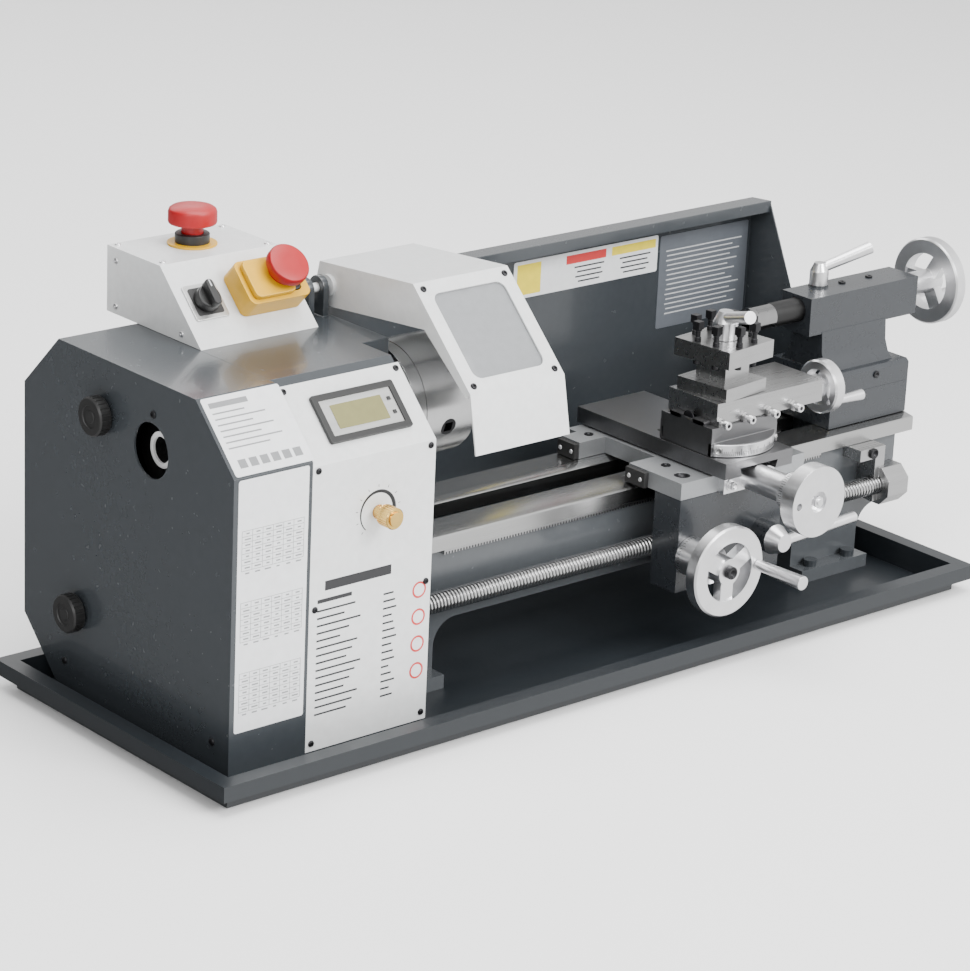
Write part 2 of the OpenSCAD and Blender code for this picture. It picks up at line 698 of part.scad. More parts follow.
// Corner points of the chuck guard's side view, in (Y, Z)
hood_back = [80, 339];
hood_peak = [-39, 349];
hood_knee = [-114, 277];
hood_foot = [-124, 229];
hood_t = 1.6;
win_w = 74;
win_h = 80;
module hood_side(x0) {
    along_x(x0, x0 + hood_t) polygon([hood_back, [89, 301.5], [-55, 315], [-109, 272], hood_knee, hood_peak]);
}
module on_window() {
    a = bearing_to(hood_knee, hood_peak);
    c = (hood_knee + hood_peak)/2;
    translate([hood_x0 + hood_w/2, c.x, c.y]) rotate([a, 0, 0]) children();
}
module strip(p, q, t) {
    n = unit([-(q - p).y, (q - p).x]);
    polygon([p, q, q + n*t, p + n*t]);
}
module chuck_guard() {
    color("white") difference() {
        union() {
            hood_side(hood_x0);
            hood_side(hood_x0 + hood_w - hood_t);
            along_x(hood_x0, hood_x0 + hood_w) {
                strip(hood_back, hood_peak, hood_t);
                strip(hood_peak, hood_knee, hood_t);
                strip(hood_knee, hood_foot, hood_t);
                strip([89, 301.5], hood_back, hood_t);
            }
            rod_x(hood_x0 - 34, hood_x0, hinge_r, hinge_y, hinge_z);
            rod_x(hood_x0 - 3.5, hood_x0 + hood_t, 9, hinge_y, hinge_z);
        }
        on_window() translate([0, 0, -5]) linear_extrude(10) rounded(win_w, win_h, 8);
    }
}
module guard_window() {
    color("#c8ccd2") on_window() translate([0, 0, -hood_t - 2.2]) linear_extrude(2) rounded(win_w + 10, win_h + 8, 8);
}

// ---------- chuck ----------
pinion_ang = 196.4;
jaw_ang = [for (i = [0:2]) pinion_ang + 60 + 120*i];
jaw_in = 14;
jaw_out = 44;
module chuck_backplate() {
    color("gray") difference() {
        rod_x(plate_x0, chuck_x0, chuck_r - 0.4, 0, axis_z);
        rod_x(plate_x0 - 1, chuck_x0 + 1, spindle_bore/2 + 3, 0, axis_z);
    }
}
// Places children on the chuck with +Y pointing out along a radius and +Z along +X
module on_radius(a) { translate([0, 0, axis_z]) rotate([a, 0, 0]) children(); }
pinion_x = -118.3;
module chuck_body() {
    color("gray") difference() {
        rod_x(chuck_x0, chuck_x1, chuck_r, 0, axis_z);
        rod_x(chuck_x0 - 1, chuck_x1 + 1, 11, 0, axis_z);
        for (a = jaw_ang) on_radius(a)
            box([chuck_x1 - 24, 0, -jaw_w/2 - slack], [chuck_x1 + 1, chuck_r + 2, jaw_w/2 + slack]);
        on_radius(pinion_ang) rod_y(chuck_r - 17, chuck_r + 2, 7.5, pinion_x, 0);
    }
}
module chuck_jaw(a) {
    color("silver") on_radius(a) {
        box([chuck_x1 - 23.5, jaw_in, -jaw_w/2], [chuck_x1 + 0.6, jaw_out, jaw_w/2]);
        box([chuck_x1 + 0.5, jaw_in, -jaw_w/2], [chuck_x1 + 9, jaw_out, jaw_w/2]);
        box([chuck_x1 + 8, jaw_in, -jaw_w/2], [chuck_x1 + 17, jaw_out - 9, jaw_w/2]);
        box([chuck_x1 + 16, jaw_in, -jaw_w/2], [chuck_x1 + 25, jaw_out - 19, jaw_w/2]);
    }
}
module chuck_jaw_1() { chuck_jaw(jaw_ang[0]); }
module chuck_jaw_2() { chuck_jaw(jaw_ang[1]); }
module chuck_jaw_3() { chuck_jaw(jaw_ang[2]); }
module chuck_pinion() {
    color("#222222") on_radius(pinion_ang) difference() {
        rod_y(chuck_r - 16, chuck_r - 0.2, 7.45, pinion_x, 0);
        translate([pinion_x, chuck_r, 0]) cube([8, 18, 8], center = true);
    }
}

// ---------- carriage ----------
saddle_z0 = way_z + 0.3;
wing_inner = 37;
rear_wing = [26, 50];
bridge_x0 = cross_cx - 43;
bridge_x1 = cross_cx + 43;
module saddle() {
    color("slategray") difference() {
        union() {
            box([saddle_x0, -apron_front, saddle_z0], [saddle_x1, -wing_inner, saddle_top]);
            box([saddle_x0, rear_wing[0], saddle_z0], [saddle_x1, rear_wing[1], saddle_top]);
            box([bridge_x0, -apron_front, saddle_z0], [bridge_x1, rear_wing[1], saddle_top]);
            along_y(-apron_front, rear_wing[1] + 12) polygon([
                [cross_cx - dove_w/2 + 3, saddle_top - 1], [cross_cx + dove_w/2 - 3, saddle_top - 1],
                [cross_cx + dove_w/2 - 3, saddle_top], [cross_cx + dove_w/2, saddle_top + dove_h],
                [cross_cx - dove_w/2, saddle_top + dove_h], [cross_cx - dove_w/2 + 3, saddle_top]]);
            box([saddle_x0 + 18, rear_wing[1] + 0.6, way_z - way_t - 6], [saddle_x1 - 18, rear_wing[1] + 12, saddle_top]);
            box([saddle_x0 + 18, rear_wing[1] - 1, saddle_z0], [saddle_x1 - 18, rear_wing[1] + 12, saddle_top]);
            box([saddle_x0 + 18, 45, way_z - way_t - 6],
                [saddle_x1 - 18, rear_wing[1] + 12, way_z - way_t - 0.4]);
        }
        rod_y(-apron_front - 1, rear_wing[1] + 20, 6.5, cross_cx, cross_screw_z);
        rod_z(saddle_top - 6, saddle_top + 1, 7, saddle_x0 + 16, -86);
    }
}
apron_z0 = way_z - apron_drop;
module apron() {
    color("slategray") difference() {
        union() {
            box([saddle_x0, -apron_front, apron_z0], [saddle_x0 + apron_w, -apron_front + apron_t, saddle_z0]);
            rod_y(-apron_front - 19, -apron_front, 13.5, lever_x, lever_z);
        }
        rod_y(-apron_front - 1, -apron_front + apron_t + 1, 8 + run, wheel_x, wheel_z);
        rod_y(-apron_front - 20, -apron_front + apron_t + 1, 7 + run, lever_x, lever_z);
        box([saddle_x0 + 12, -apron_front + 8, apron_z0 + 10],
            [saddle_x0 + apron_w - 12, -apron_front + apron_t + 1, saddle_z0 - 12]);
    }
}
module way_wipers() {
    color("#1c1c1c") for (x = [saddle_x0 - 5, saddle_x1]) {
        box([x, -62, way_z + 0.3], [x + 5, -wing_inner - 1, saddle_top - 1.5]);
        box([x, rear_wing[0] + 1, way_z + 0.3], [x + 5, rear_wing[1] - 1, saddle_top - 1.5]);
    }
}
boss_end = -158;
collar_y = -176;
module cross_screw_boss() {
    color("lightgray") difference() {
        union() {
            rod_y(boss_end, -apron_front, boss_r, cross_cx, cross_screw_z);
            box([cross_cx - 30, -apron_front - 7, saddle_top - 16],
                [cross_cx + 30, -apron_front, saddle_top]);
        }
        rod_y(boss_end - 1, -apron_front + 1, 6 + run, cross_cx, cross_screw_z);
    }
}
module wheel_rim(r, w, depth) {
    rotate_extrude($fn = 96)
        polygon([[r - w, 0], [r - 1.5, 0], [r, 1.5], [r, depth - 1.5], [r - 1.5, depth], [r - w, depth]]);
}
// Spoked handwheel on the Z axis, with its rim between z = 0 and z = depth
module spoked_wheel(r, w, depth, hub_r, hub_len, bore) {
    difference() {
        union() {
            wheel_rim(r, w, depth);
            cylinder(h = hub_len, r = hub_r);
            for (a = [90, 210, 330]) rotate(a) translate([0, -7, 2]) cube([r - w + 1, 14, depth - 4]);
        }
        translate([0, 0, -1]) cylinder(h = hub_len + 2, r = bore);
    }
}
wheel_face = -151.5;
wheel_depth = 13;
module apron_handwheel() {
    color("silver") translate([wheel_x, wheel_face, wheel_z]) rotate([-90, 0, 0]) {
        difference() {
            spoked_wheel(apron_wheel_d/2, 14, wheel_depth, 12, 8 + wheel_depth, 5);
            translate([33, 0, -1]) cylinder(h = wheel_depth + 2, r = 3);
        }
        translate([0, 0, 20.9]) difference() {
            cylinder(h = -apron_front - wheel_face - 20.9 - 0.3, r = 17);
            translate([0, 0, -1]) cylinder(h = 40, r = 5);
        }
        translate([0, 0, 6]) cylinder(h = -wheel_face - apron_front + apron_t - 8, r = 5 - eps);
        translate([0, 0, -wheel_face - apron_front + 1]) cylinder(h = apron_t - 12, r = 8);
    }
}
// Turned handle on the Z axis, growing towards -Z from its root at z = 0
module turned_handle(len) {
    translate([0, 0, -len]) cylinder(h = len - 0.3, r1 = 6.2, r2 = 4.6);
    translate([0, 0, -0.4]) cylinder(h = 9, r = 3 - run);
}
module apron_handle() {
    color("silver") translate([wheel_x, wheel_face, wheel_z]) rotate([-90, 0, 0]) translate([33, 0, 0]) turned_handle(54);
}
module feed_lever() {
    color("silver") translate([lever_x, -apron_front - 19.4, lever_z]) rotate([90, 0, 0]) {
        cylinder(h = 12, r1 = 13.5, r2 = 8);
        translate([0, 0, -26]) cylinder(h = 26.1, r = 7);
        translate([0, 0, 7]) rotate([0, 90, 3]) cylinder(h = 90, r = 4.8);
    }
}
module cross_slide() {
    y1 = cross_y0 + cross_l;
    color("gray") difference() {
        box([cross_cx - cross_w/2, cross_y0, cross_z0], [cross_cx + cross_w/2, y1, cross_top]);
        along_y(cross_y0 - 1, y1 + 1) polygon([
            [cross_cx - dove_w/2 + 3 - slack, saddle_top - 1], [cross_cx + dove_w/2 - 3 + slack, saddle_top - 1],
            [cross_cx + dove_w/2 - 3 + slack, saddle_top], [cross_cx + dove_w/2 + slack, saddle_top + dove_h + slack],
            [cross_cx - dove_w/2 - slack, saddle_top + dove_h + slack], [cross_cx - dove_w/2 + 3 - slack, saddle_top]]);
        rod_z(cross_z0 + 5, cross_top + 1, 5 - 1, comp_c.x, comp_c.y);
    }
}
module cross_handwheel() {
    color("silver") translate([cross_cx, collar_y - 16, cross_screw_z]) rotate([-90, 0, 0]) {
        difference() {
            cylinder(h = 15, r = cross_wheel_d/2, $fn = 96);
            translate([0, 0, -1]) cylinder(h = 6, r = 9);
            translate([-23, 0, -1]) cylinder(h = 10, r = 3);
        }
        translate([0, 0, 2]) cylinder(h = 5, r = 5);
        translate([0, 0, 15 - eps]) cylinder(h = boss_end - collar_y + 0.6, r = 17);
        translate([0, 0, 15]) cylinder(h = -collar_y - 15 + 45, r = 6);
    }
}
module swivel_base() {
    color("gray") difference() {
        union() {
            box([comp_c.x - comp_w/2, comp_c.y - comp_d/2, cross_top + slack],
                [comp_c.x + comp_w/2, comp_c.y + comp_d/2, top_z0 - 9]);
            intersection() {
                rod_z(cross_top + slack, cross_top + 12, swivel_r, comp_c.x, comp_c.y);
                box([comp_c.x - comp_w/2 - 2, comp_c.y - swivel_r - 1, 0],
                    [comp_c.x + comp_w/2 + 2, comp_c.y + swivel_r + 1, axis_z]);
            }
            dovetail(comp_c.x - comp_w/2, comp_c.x + comp_w/2, 0);
            rod_z(cross_top - 5, cross_top + 3, 4 - run, comp_c.x, comp_c.y);
        }
        rod_x(comp_c.x - comp_w/2 - 1, comp_c.x + comp_w/2 + 1, 7, comp_c.y, top_screw_z);
    }
}
// Male dovetail along X under the top slide, widened by g on each side
module dovetail(x0, x1, g) {
    along_x(x0, x1) translate([comp_c.y, 0]) polygon([[-17 - g, top_z0 - 9.5], [17 + g, top_z0 - 9.5],
        [17 + g, top_z0 - 9], [21 + g, top_z0 + g], [21 + g, top_z0 + 1.5 + g], [-21 - g, top_z0 + 1.5 + g],
        [-21 - g, top_z0 + g], [-17 - g, top_z0 - 9]]);
}
module top_slide() {
    y0 = comp_c.y - top_d/2 + 1.5;
    color("gray") {
        difference() {
            union() {
                box([top_x0, y0, top_z0 - 9 + slack], [top_x1, y0 + top_d, top_z1]);
                box([top_x1, y0, top_z0 - 13], [top_x1 + 6, y0 + top_d, top_z1]);
            }
            dovetail(top_x0 - 1, top_x1, slack);
            rod_x(top_x1 - 46, top_x1 + 1, 4.6, comp_c.y, top_screw_z);
            rod_x(top_x1 - 3, top_x1 + 7, 6 + run, comp_c.y, top_screw_z);
        }
        rod_z(top_z1 - 1, stud_top, 6, comp_c.x, comp_c.y);
    }
}
top_wheel_x = top_x1 + 28;
module top_handwheel() {
    color("silver") translate([top_wheel_x + 13, comp_c.y, top_screw_z]) rotate([0, -90, 0]) {
        difference() {
            spoked_wheel(top_wheel_d/2, 8, 12, 9, 13, 4);
            rotate(top_handle_a) translate([18, 0, -1]) cylinder(h = 20, r = 2.5);
        }
        translate([0, 0, 12.9]) cylinder(h = 21.8, r = 12);
        translate([0, 0, 4]) cylinder(h = 20 + 60, r = 4);
        translate([0, 0, 13]) cylinder(h = 30, r = 6);
    }
}
top_handle_a = 235;
module top_handle() {
    color("silver") translate([top_wheel_x + 13, comp_c.y, top_screw_z]) rotate([0, -90, 0]) rotate(top_handle_a)
        translate([18, 0, 0]) {
            translate([0, 0, -30]) cylinder(h = 29.7, r1 = 5, r2 = 3.6);
            translate([0, 0, -0.4]) cylinder(h = 8, r = 2.5 - run);
        }
}
module tool_post() {
    color("gray") translate([comp_c.x, comp_c.y, post_z0 + slack]) rotate(post_angle) difference() {
        union() {
            translate([-27, -27, 0]) cube([54, 54, base_plate_t - slack]);
            translate([-neck_s/2, -neck_s/2, 1]) cube([neck_s, neck_s, post_z1 - post_z0 - 2]);
            translate([-post_s/2, -post_s/2, base_plate_t - slack + tool_slot]) cube([post_s, post_s, post_plate_t]);
        }
        translate([0, 0, -1]) cylinder(h = 80, r = 6 + run);
        for (p = bolt_spots()) translate([p.x, p.y, base_plate_t + tool_slot - 2]) cylinder(h = 30, r = 3.05);
    }
}
// Two tool bolts along each side of the top plate
function bolt_spots() = let (o = post_s/2 - 6) [for (a = [0:90:270], k = [-1, 1])
    [cos(a)*o - sin(a)*k*o*0.42, sin(a)*o + cos(a)*k*o*0.42]];
module tool_post_bolts() {
    color("#1c1c1c") translate([comp_c.x, comp_c.y, post_z0 + slack]) rotate(post_angle)
        for (p = bolt_spots())
        translate([p.x, p.y, base_plate_t + tool_slot - 5]) {
            cylinder(h = 26, r = 3);
            translate([0, 0, 25.9 + 2.5]) cube([6.6, 6.6, 5], center = true);
        }
}
lever_dir = 252;
module tool_post_lever() {
    translate([comp_c.x, comp_c.y, post_z1 + 0.4]) rotate(lever_dir) color("silver") difference() {
        union() {
            cylinder(h = 14, r = 11);
            translate([0, 0, 14]) cylinder(h = 10, r1 = 11, r2 = 6);
            translate([2, 0, 18]) rotate([0, 73, 0]) cylinder(h = 44, r = 5.5);
        }
        translate([0, 0, -1]) cylinder(h = 13, r = 6 + run);
    }
}

// ---------- tailstock ----------
module tailstock_base() {
    color("slategray") difference() {
        union() {
            box([tail_x0, -tail_w/2, way_z + 0.2], [tail_x1, tail_w/2, way_z + tail_base_h - 20]);
            box([tail_x0 + 10, -18.7, way_z - way_t - 1], [tail_x1 - 10, 14.7, way_z + 0.3]);
            box([tail_x0 + 15, -34, way_z - way_t - 12], [tail_x1 - 15, 34, way_z - way_t - 0.4]);
        }
        rod_z(way_z - 40, way_z + tail_base_h, 5.2, clamp_x, 0);
    }
}
module tailstock_body() {
    z0 = way_z + tail_base_h - 20;
    z1 = way_z + tail_base_h;
    yb = barrel_w/2;
    prof = [[-tail_w/2, z0], [tail_w/2, z0], [tail_w/2, z1 - 3], [tail_w/2 - 3, z1], [30, z1],
        [24, z1 + 6], [yb + 1.5, z1 + 16], [yb, barrel_z0 + 2], [-yb, barrel_z0 + 2],
        [-yb - 1.5, z1 + 16], [-24, z1 + 6], [-30, z1], [-tail_w/2 + 3, z1], [-tail_w/2, z1 - 3]];
    color("slategray") difference() {
        union() {
            intersection() {
                along_x(tail_x0, tail_x1) polygon(prof);
                union() {
                    box([tail_x0, -90, z0], [tail_x1, 90, z1]);
                    box([tail_x0 + 4, -90, z0], [tail_x1 - 13, 90, axis_z]);
                }
            }
            box([barrel_x0, -yb + barrel_shift, barrel_z0], [barrel_x1, yb + barrel_shift, barrel_z1]);
            box([barrel_x1 - eps, -yb + barrel_shift, barrel_z0], [barrel_x1 + 7, yb + barrel_shift, barrel_z1]);
            rod_z(barrel_z1 - 1, barrel_z1 + 1.6, 9, lock_x, lock_y - 1.5);
        }
        rod_x(barrel_x0 - 1, barrel_x1 - 6, quill_d/2 + run, 0, axis_z);
        rod_x(barrel_x1 - 7, barrel_x1 + 8, tail_screw_r + run, 0, axis_z);
        rod_z(z0 - 1, z0 + 4, 5.2, clamp_x, 0);
    }
}
module quill() {
    color("silver") difference() {
        rod_x(quill_x0, quill_x1, quill_d/2, 0, axis_z);
        translate([quill_x0 - 0.01, 0, axis_z]) rotate([0, 90, 0]) cylinder(h = 64, r1 = 8.9, r2 = 7.3);
        rod_x(quill_x0 + 60, quill_x1 + 1, tail_screw_r + 0.4, 0, axis_z);
    }
}
module tail_handwheel() {
    color("silver") translate([tail_wheel_x, 0, axis_z]) rotate([0, 90, 0]) {
        difference() {
            spoked_wheel(tail_wheel_d/2, 14, 13, 11, 13, 4);
            rotate(tail_handle_a) translate([33, 0, -1]) cylinder(h = 20, r = 3);
        }
        translate([0, 0, -tail_wheel_x + barrel_x1 + 7.3]) cylinder(h = tail_wheel_x - barrel_x1 - 7.2, r = 11);
        translate([0, 0, -tail_wheel_x + 330]) cylinder(h = tail_wheel_x - 330 + 6, r = tail_screw_r);
    }
}
tail_handle_a = 38;
module tail_handle() {
    color("silver") translate([tail_wheel_x, 0, axis_z]) rotate([0, 90, 0]) rotate(tail_handle_a) translate([33, 0, 13])
        rotate([180, 0, 0]) turned_handle(46);
}
module quill_lever() {
    color("silver") translate([lock_x, lock_y - 1.5, barrel_z1 + 2]) {
        cylinder(h = 12, r = 8.5);
        translate([0, 0, 12]) cylinder(h = 8, r1 = 8.5, r2 = 5);
        translate([0, 0, 14]) rotate([0, 70, -22]) cylinder(h = 52, r1 = 4.5, r2 = 5.6);
    }
}

chip_tray();
bed();
feed_rack();
bed_fasteners();
headstock_casting();
headstock_housing();
bearings();
gear_quadrant();
end_cover();
front_panel();
display_bezel();
control_box();
estop_collar();
switch_housing();
splash_guard();
motor();
drive_belt();
leadscrew_brackets();
spindle();
spindle_drive();
chuck_backplate();
chuck_body();
chuck_jaw_1();
chuck_jaw_2();
chuck_jaw_3();
chuck_pinion();
motor_pulley();
tumbler_gear();
change_gears();
lead_screw();
chuck_guard();
guard_window();
estop_button();
direction_knob();
switch_paddle();
speed_knob();
cover_knob_upper();
cover_knob_lower();
saddle();
apron();
way_wipers();
cross_screw_boss();
apron_handwheel();
apron_handle();
feed_lever();
cross_slide();
cross_handwheel();
swivel_base();
top_slide();
top_handwheel();
top_handle();
tool_post();
tool_post_bolts();
tool_post_lever();
tailstock_base();
tailstock_body();
quill();
quill_lever();
tail_handwheel();
tail_handle();
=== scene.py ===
"""Studio scene of a bench-top metal lathe.

Finishes, softened castings and small detail are set round the fixed frame.
"""

import json
import logging
import math
from dataclasses import dataclass
from enum import Enum
from typing import Callable, ClassVar, Iterable, Sequence

import bpy
from mathutils import Matrix, Vector

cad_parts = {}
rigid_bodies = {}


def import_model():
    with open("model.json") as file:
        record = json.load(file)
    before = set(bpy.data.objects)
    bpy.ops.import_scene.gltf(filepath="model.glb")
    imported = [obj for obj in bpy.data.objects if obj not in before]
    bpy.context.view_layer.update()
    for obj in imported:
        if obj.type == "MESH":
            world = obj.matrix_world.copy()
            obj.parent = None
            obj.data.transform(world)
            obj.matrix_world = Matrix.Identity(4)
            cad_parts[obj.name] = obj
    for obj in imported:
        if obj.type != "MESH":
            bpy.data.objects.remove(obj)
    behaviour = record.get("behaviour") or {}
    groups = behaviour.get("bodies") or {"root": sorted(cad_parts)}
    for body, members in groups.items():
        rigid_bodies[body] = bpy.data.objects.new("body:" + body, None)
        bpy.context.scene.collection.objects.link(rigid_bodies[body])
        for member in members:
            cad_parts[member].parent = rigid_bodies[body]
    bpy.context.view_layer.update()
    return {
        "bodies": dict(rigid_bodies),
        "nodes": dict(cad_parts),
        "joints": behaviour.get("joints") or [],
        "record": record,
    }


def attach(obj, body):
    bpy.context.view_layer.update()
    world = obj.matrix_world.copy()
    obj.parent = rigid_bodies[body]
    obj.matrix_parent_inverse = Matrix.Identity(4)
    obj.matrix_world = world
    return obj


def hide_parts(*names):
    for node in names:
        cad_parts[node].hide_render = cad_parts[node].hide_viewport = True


MM = 0.001
SIDE_ON = 0.3  # a face whose normal's Z is below this stands upright
FACING = 0.9  # a face whose normal's Z is above this looks up
SMOOTH = math.radians(35)  # sharper edges are rounded, and stay sharp in shading
FLAT = math.radians(0.5)  # faces this close to one plane are merged
MERGE = 1e-7  # points this close are merged, in metres
# Print and labels, in millimetres: thickness, width of a tick, and heights above what they lie on.
INK_THICK = 0.06
TICK = 0.42
LABEL_THICK = 0.25
ON_LABEL = 0.27
ON_WALL = 0.3
LABEL_LIFT = 0.02
LOG = logging.getLogger("lathe")
Pair = tuple[float, float]
Point = tuple[float, float, float]
Piece = bpy.types.Object


def add(tree: bpy.types.NodeTree, kind: str, **inputs: object) -> bpy.types.Node:
    """Add a shader node.

    Args:
        tree: The node tree.
        kind: The node's type, without its first words.
        inputs: Values of its inputs, with underscores for spaces.

    Returns:
        The new node.
    """
    made = tree.nodes.new(f"ShaderNode{kind}")
    for name, value in inputs.items():
        made.inputs[name.replace("_", " ")].default_value = value
    return made


def wire(tree: bpy.types.NodeTree, *ends: object) -> None:
    """Link nodes one after another.

    Args:
        tree: The node tree.
        ends: Source node, its output, target node and its input, for each link in turn.
    """
    for at in range(0, len(ends), 4):
        source, leaving, target, entering = ends[at:at + 4]
        tree.links.new(source.outputs[leaving], target.inputs[entering])


class Surface(Enum):
    """How the skin of a finish is broken up."""

    PAINT = "sprayed paint"
    GROUND = "ground along the bed"
    TURNED = "turned round an axis"
    CAST = "cast or blackened"
    PLAIN = "moulded"
    CLEAR = "frosted clear sheet"


@dataclass(frozen=True)
class Finish:
    """One finish of the machine.

    Args:
        name: Name of the material.
        slot: The record's material slot it belongs to; not used.
        colour: Base colour, linear.
        surface: How the skin is broken up.
        rough: Mean roughness.
        metal: Metallic value.
        coat: Clear coat weight.
        grain: Strength of the bump.
    """

    name: str
    slot: str
    colour: Point
    surface: Surface
    rough: float
    metal: float = 0.0
    coat: float = 0.0
    grain: float = 0.05

    COAT_ROUGH: ClassVar[float] = 0.08
    DETAIL: ClassVar[float] = 1.5
    SHADES: ClassVar[tuple[float, float]] = (0.92, 1.08)
    LEAST_ROUGH: ClassVar[float] = 0.03
    UNEVEN: ClassVar[float] = 0.03
    BUMP_HEIGHT: ClassVar[float] = 0.00002
    SPREAD: ClassVar[dict[Surface, Point]] = {
        Surface.GROUND: (12.0, 420.0, 260.0),
        Surface.TURNED: (90.0, 90.0, 90.0),
        Surface.CAST: (420.0, 420.0, 420.0),
    }

    def material(self) -> bpy.types.Material:
        """Return the finish's material, built on first use.

        Returns:
            The material.
        """
        known = bpy.data.materials.get(self.name)
        if known:
            return known
        made = bpy.data.materials.new(self.name)
        made.use_nodes = True
        self.dress(made.node_tree)
        return made

    def stretch(self) -> Point:
        """Return how much the grain is stretched along each axis."""
        return self.SPREAD.get(self.surface, (140.0, 140.0, 140.0))

    def dress(self, tree: bpy.types.NodeTree) -> None:
        """Build the finish's nodes.

        Args:
            tree: Node tree of the new material.
        """
        shader = tree.nodes["Principled BSDF"]
        shader.inputs["Metallic"].default_value = self.metal
        shader.inputs["Coat Weight"].default_value = self.coat
        shader.inputs["Coat Roughness"].default_value = self.COAT_ROUGH
        place = add(tree, "TexCoord")
        spread = add(tree, "Mapping", Scale=self.stretch())
        noise = add(tree, "TexNoise", Scale=1.0, Detail=self.DETAIL)
        shades = [(*[min(1.0, c * level) for c in self.colour], 1.0) for level in self.SHADES]
        tone = add(tree, "MixRGB", Color1=shades[0], Color2=shades[1])
        sheen = add(tree, "MapRange", To_Min=max(self.LEAST_ROUGH, self.rough - self.UNEVEN),
                    To_Max=min(1.0, self.rough + self.UNEVEN))
        bump = add(tree, "Bump", Strength=self.grain, Distance=self.BUMP_HEIGHT)
        wire(tree, place, "Object", spread, "Vector", spread, "Vector", noise, "Vector",
             noise, "Fac", tone, "Fac", tone, "Color", shader, "Base Color",
             noise, "Fac", sheen, "Value", sheen, "Result", shader, "Roughness",
             noise, "Fac", bump, "Height", bump, "Normal", shader, "Normal")
        if self.surface is Surface.CLEAR:
            shader.inputs["Alpha"].default_value = 0.62
            shader.inputs["IOR"].default_value = 1.45


def grey(level: float) -> Point:
    """Return an even grey."""
    return (level, level, level)


PAINT = Finish("grey_machine_paint", "machine_paint", (0.033, 0.038, 0.043),
               Surface.PAINT, 0.26, coat=0.35, grain=0.02)
TRAY_PAINT = Finish("grey_tray_paint", "machine_paint", (0.012, 0.015, 0.018),
                    Surface.PAINT, 0.38, coat=0.1, grain=0.02)
CAST_PAINT = Finish("grey_casting_paint", "machine_paint", (0.022, 0.025, 0.029),
                    Surface.PAINT, 0.28, coat=0.3, grain=0.02)
BED_PAINT = Finish("grey_bed_paint", "machine_paint", (0.066, 0.072, 0.078),
                   Surface.PAINT, 0.26, coat=0.4, grain=0.02)
# Dark steel on the lead screw's core: painted shade in the grooves between the thread's turns. The quill's
# darker band uses it too.
SCREW_ROOT = Finish("thread_groove_shade_and_dark_band", "ground_steel", grey(0.045), Surface.TURNED, 0.4, 1.0)
QUILL_STEEL = Finish("polished_quill_steel", "ground_steel", grey(0.30),
                     Surface.TURNED, 0.14, 1.0, grain=0.03)
SHEET = Finish("white_sheet_paint", "sheet_white", (0.66, 0.67, 0.67), Surface.PAINT, 0.30, coat=0.4)
GROUND = Finish("ground_steel_bright", "ground_steel", grey(0.44), Surface.GROUND, 0.28, 1.0, grain=0.05)
TURNED = Finish("turned_steel", "ground_steel", grey(0.56), Surface.TURNED, 0.24, 1.0, grain=0.06)
IRON = Finish("machined_iron_grey", "machined_iron", (0.21, 0.21, 0.215),
              Surface.GROUND, 0.36, 1.0, grain=0.08)
SADDLE_IRON = Finish("machined_iron_pale", "machined_iron", (0.36, 0.37, 0.38),
                     Surface.CAST, 0.42, 0.7, grain=0.15)
ROUGH_IRON = Finish("cast_iron_grey", "cast_iron", (0.16, 0.16, 0.165), Surface.CAST, 0.5, 0.8, grain=0.3)
ALLOY = Finish("satin_alloy", "satin_aluminium", (0.84, 0.84, 0.85), Surface.TURNED, 0.30, 1.0, grain=0.05)
BLACKENED = Finish("black_oxide_steel", "black_oxide", (0.018, 0.018, 0.02),
                   Surface.CAST, 0.36, 0.6, grain=0.1)
GEAR_STEEL = Finish("hobbed_gear_steel", "gear_steel", grey(0.36), Surface.TURNED, 0.34, 1.0)
PLASTIC = Finish("black_moulding", "black_plastic", grey(0.012), Surface.PLAIN, 0.42, grain=0.1)
YELLOW = Finish("yellow_moulding", "yellow_plastic", (0.62, 0.34, 0.002), Surface.PLAIN, 0.4, grain=0.02)
RED = Finish("red_moulding", "red_plastic", (0.34, 0.002, 0.005), Surface.PLAIN, 0.4, grain=0.02)
MOTOR = Finish("motor_black_paint", "motor_paint", (0.02, 0.02, 0.022), Surface.PAINT, 0.4)
BELT = Finish("belt_rubber_black", "belt_rubber", grey(0.012), Surface.CAST, 0.7)
WIPER = Finish("wiper_rubber_black", "wiper_rubber", grey(0.016), Surface.CAST, 0.6)
CLEAR = Finish("frosted_window", "clear_window", (0.33, 0.34, 0.35), Surface.CLEAR, 0.22)
# Pale, hardly metallic steel for the spindle's end face: painted light, so the face shows bright under the dim
# room at the left.
LIT_SPINDLE_END = Finish("spindle_end_painted_light", "ground_steel", grey(0.72), Surface.TURNED, 0.55, 0.2)
BRASS = Finish("brass_turned", "brass", (0.78, 0.52, 0.16), Surface.TURNED, 0.25, 1.0)
LCD = Finish("olive_display", "black_plastic", (0.19, 0.18, 0.075), Surface.PLAIN, 0.22, grain=0.0)
SURROUND = Finish("display_surround", "ground_steel", (0.58, 0.58, 0.57), Surface.GROUND, 0.3, 1.0)
PAPER = Finish("label_white", "sheet_white", (0.70, 0.71, 0.72), Surface.PAINT, 0.45, grain=0.0)
DARK_PAPER = Finish("label_grey", "machine_paint", (0.10, 0.11, 0.125), Surface.PAINT, 0.35, grain=0.0)
INK = Finish("print_black", "black_plastic", (0.02, 0.02, 0.022), Surface.PLAIN, 0.6, grain=0.0)
FAINT_INK = Finish("print_grey", "black_plastic", (0.20, 0.205, 0.21), Surface.PLAIN, 0.6, grain=0.0)
WHITE_INK = Finish("print_white", "sheet_white", (0.45, 0.46, 0.47), Surface.PLAIN, 0.6, grain=0.0)
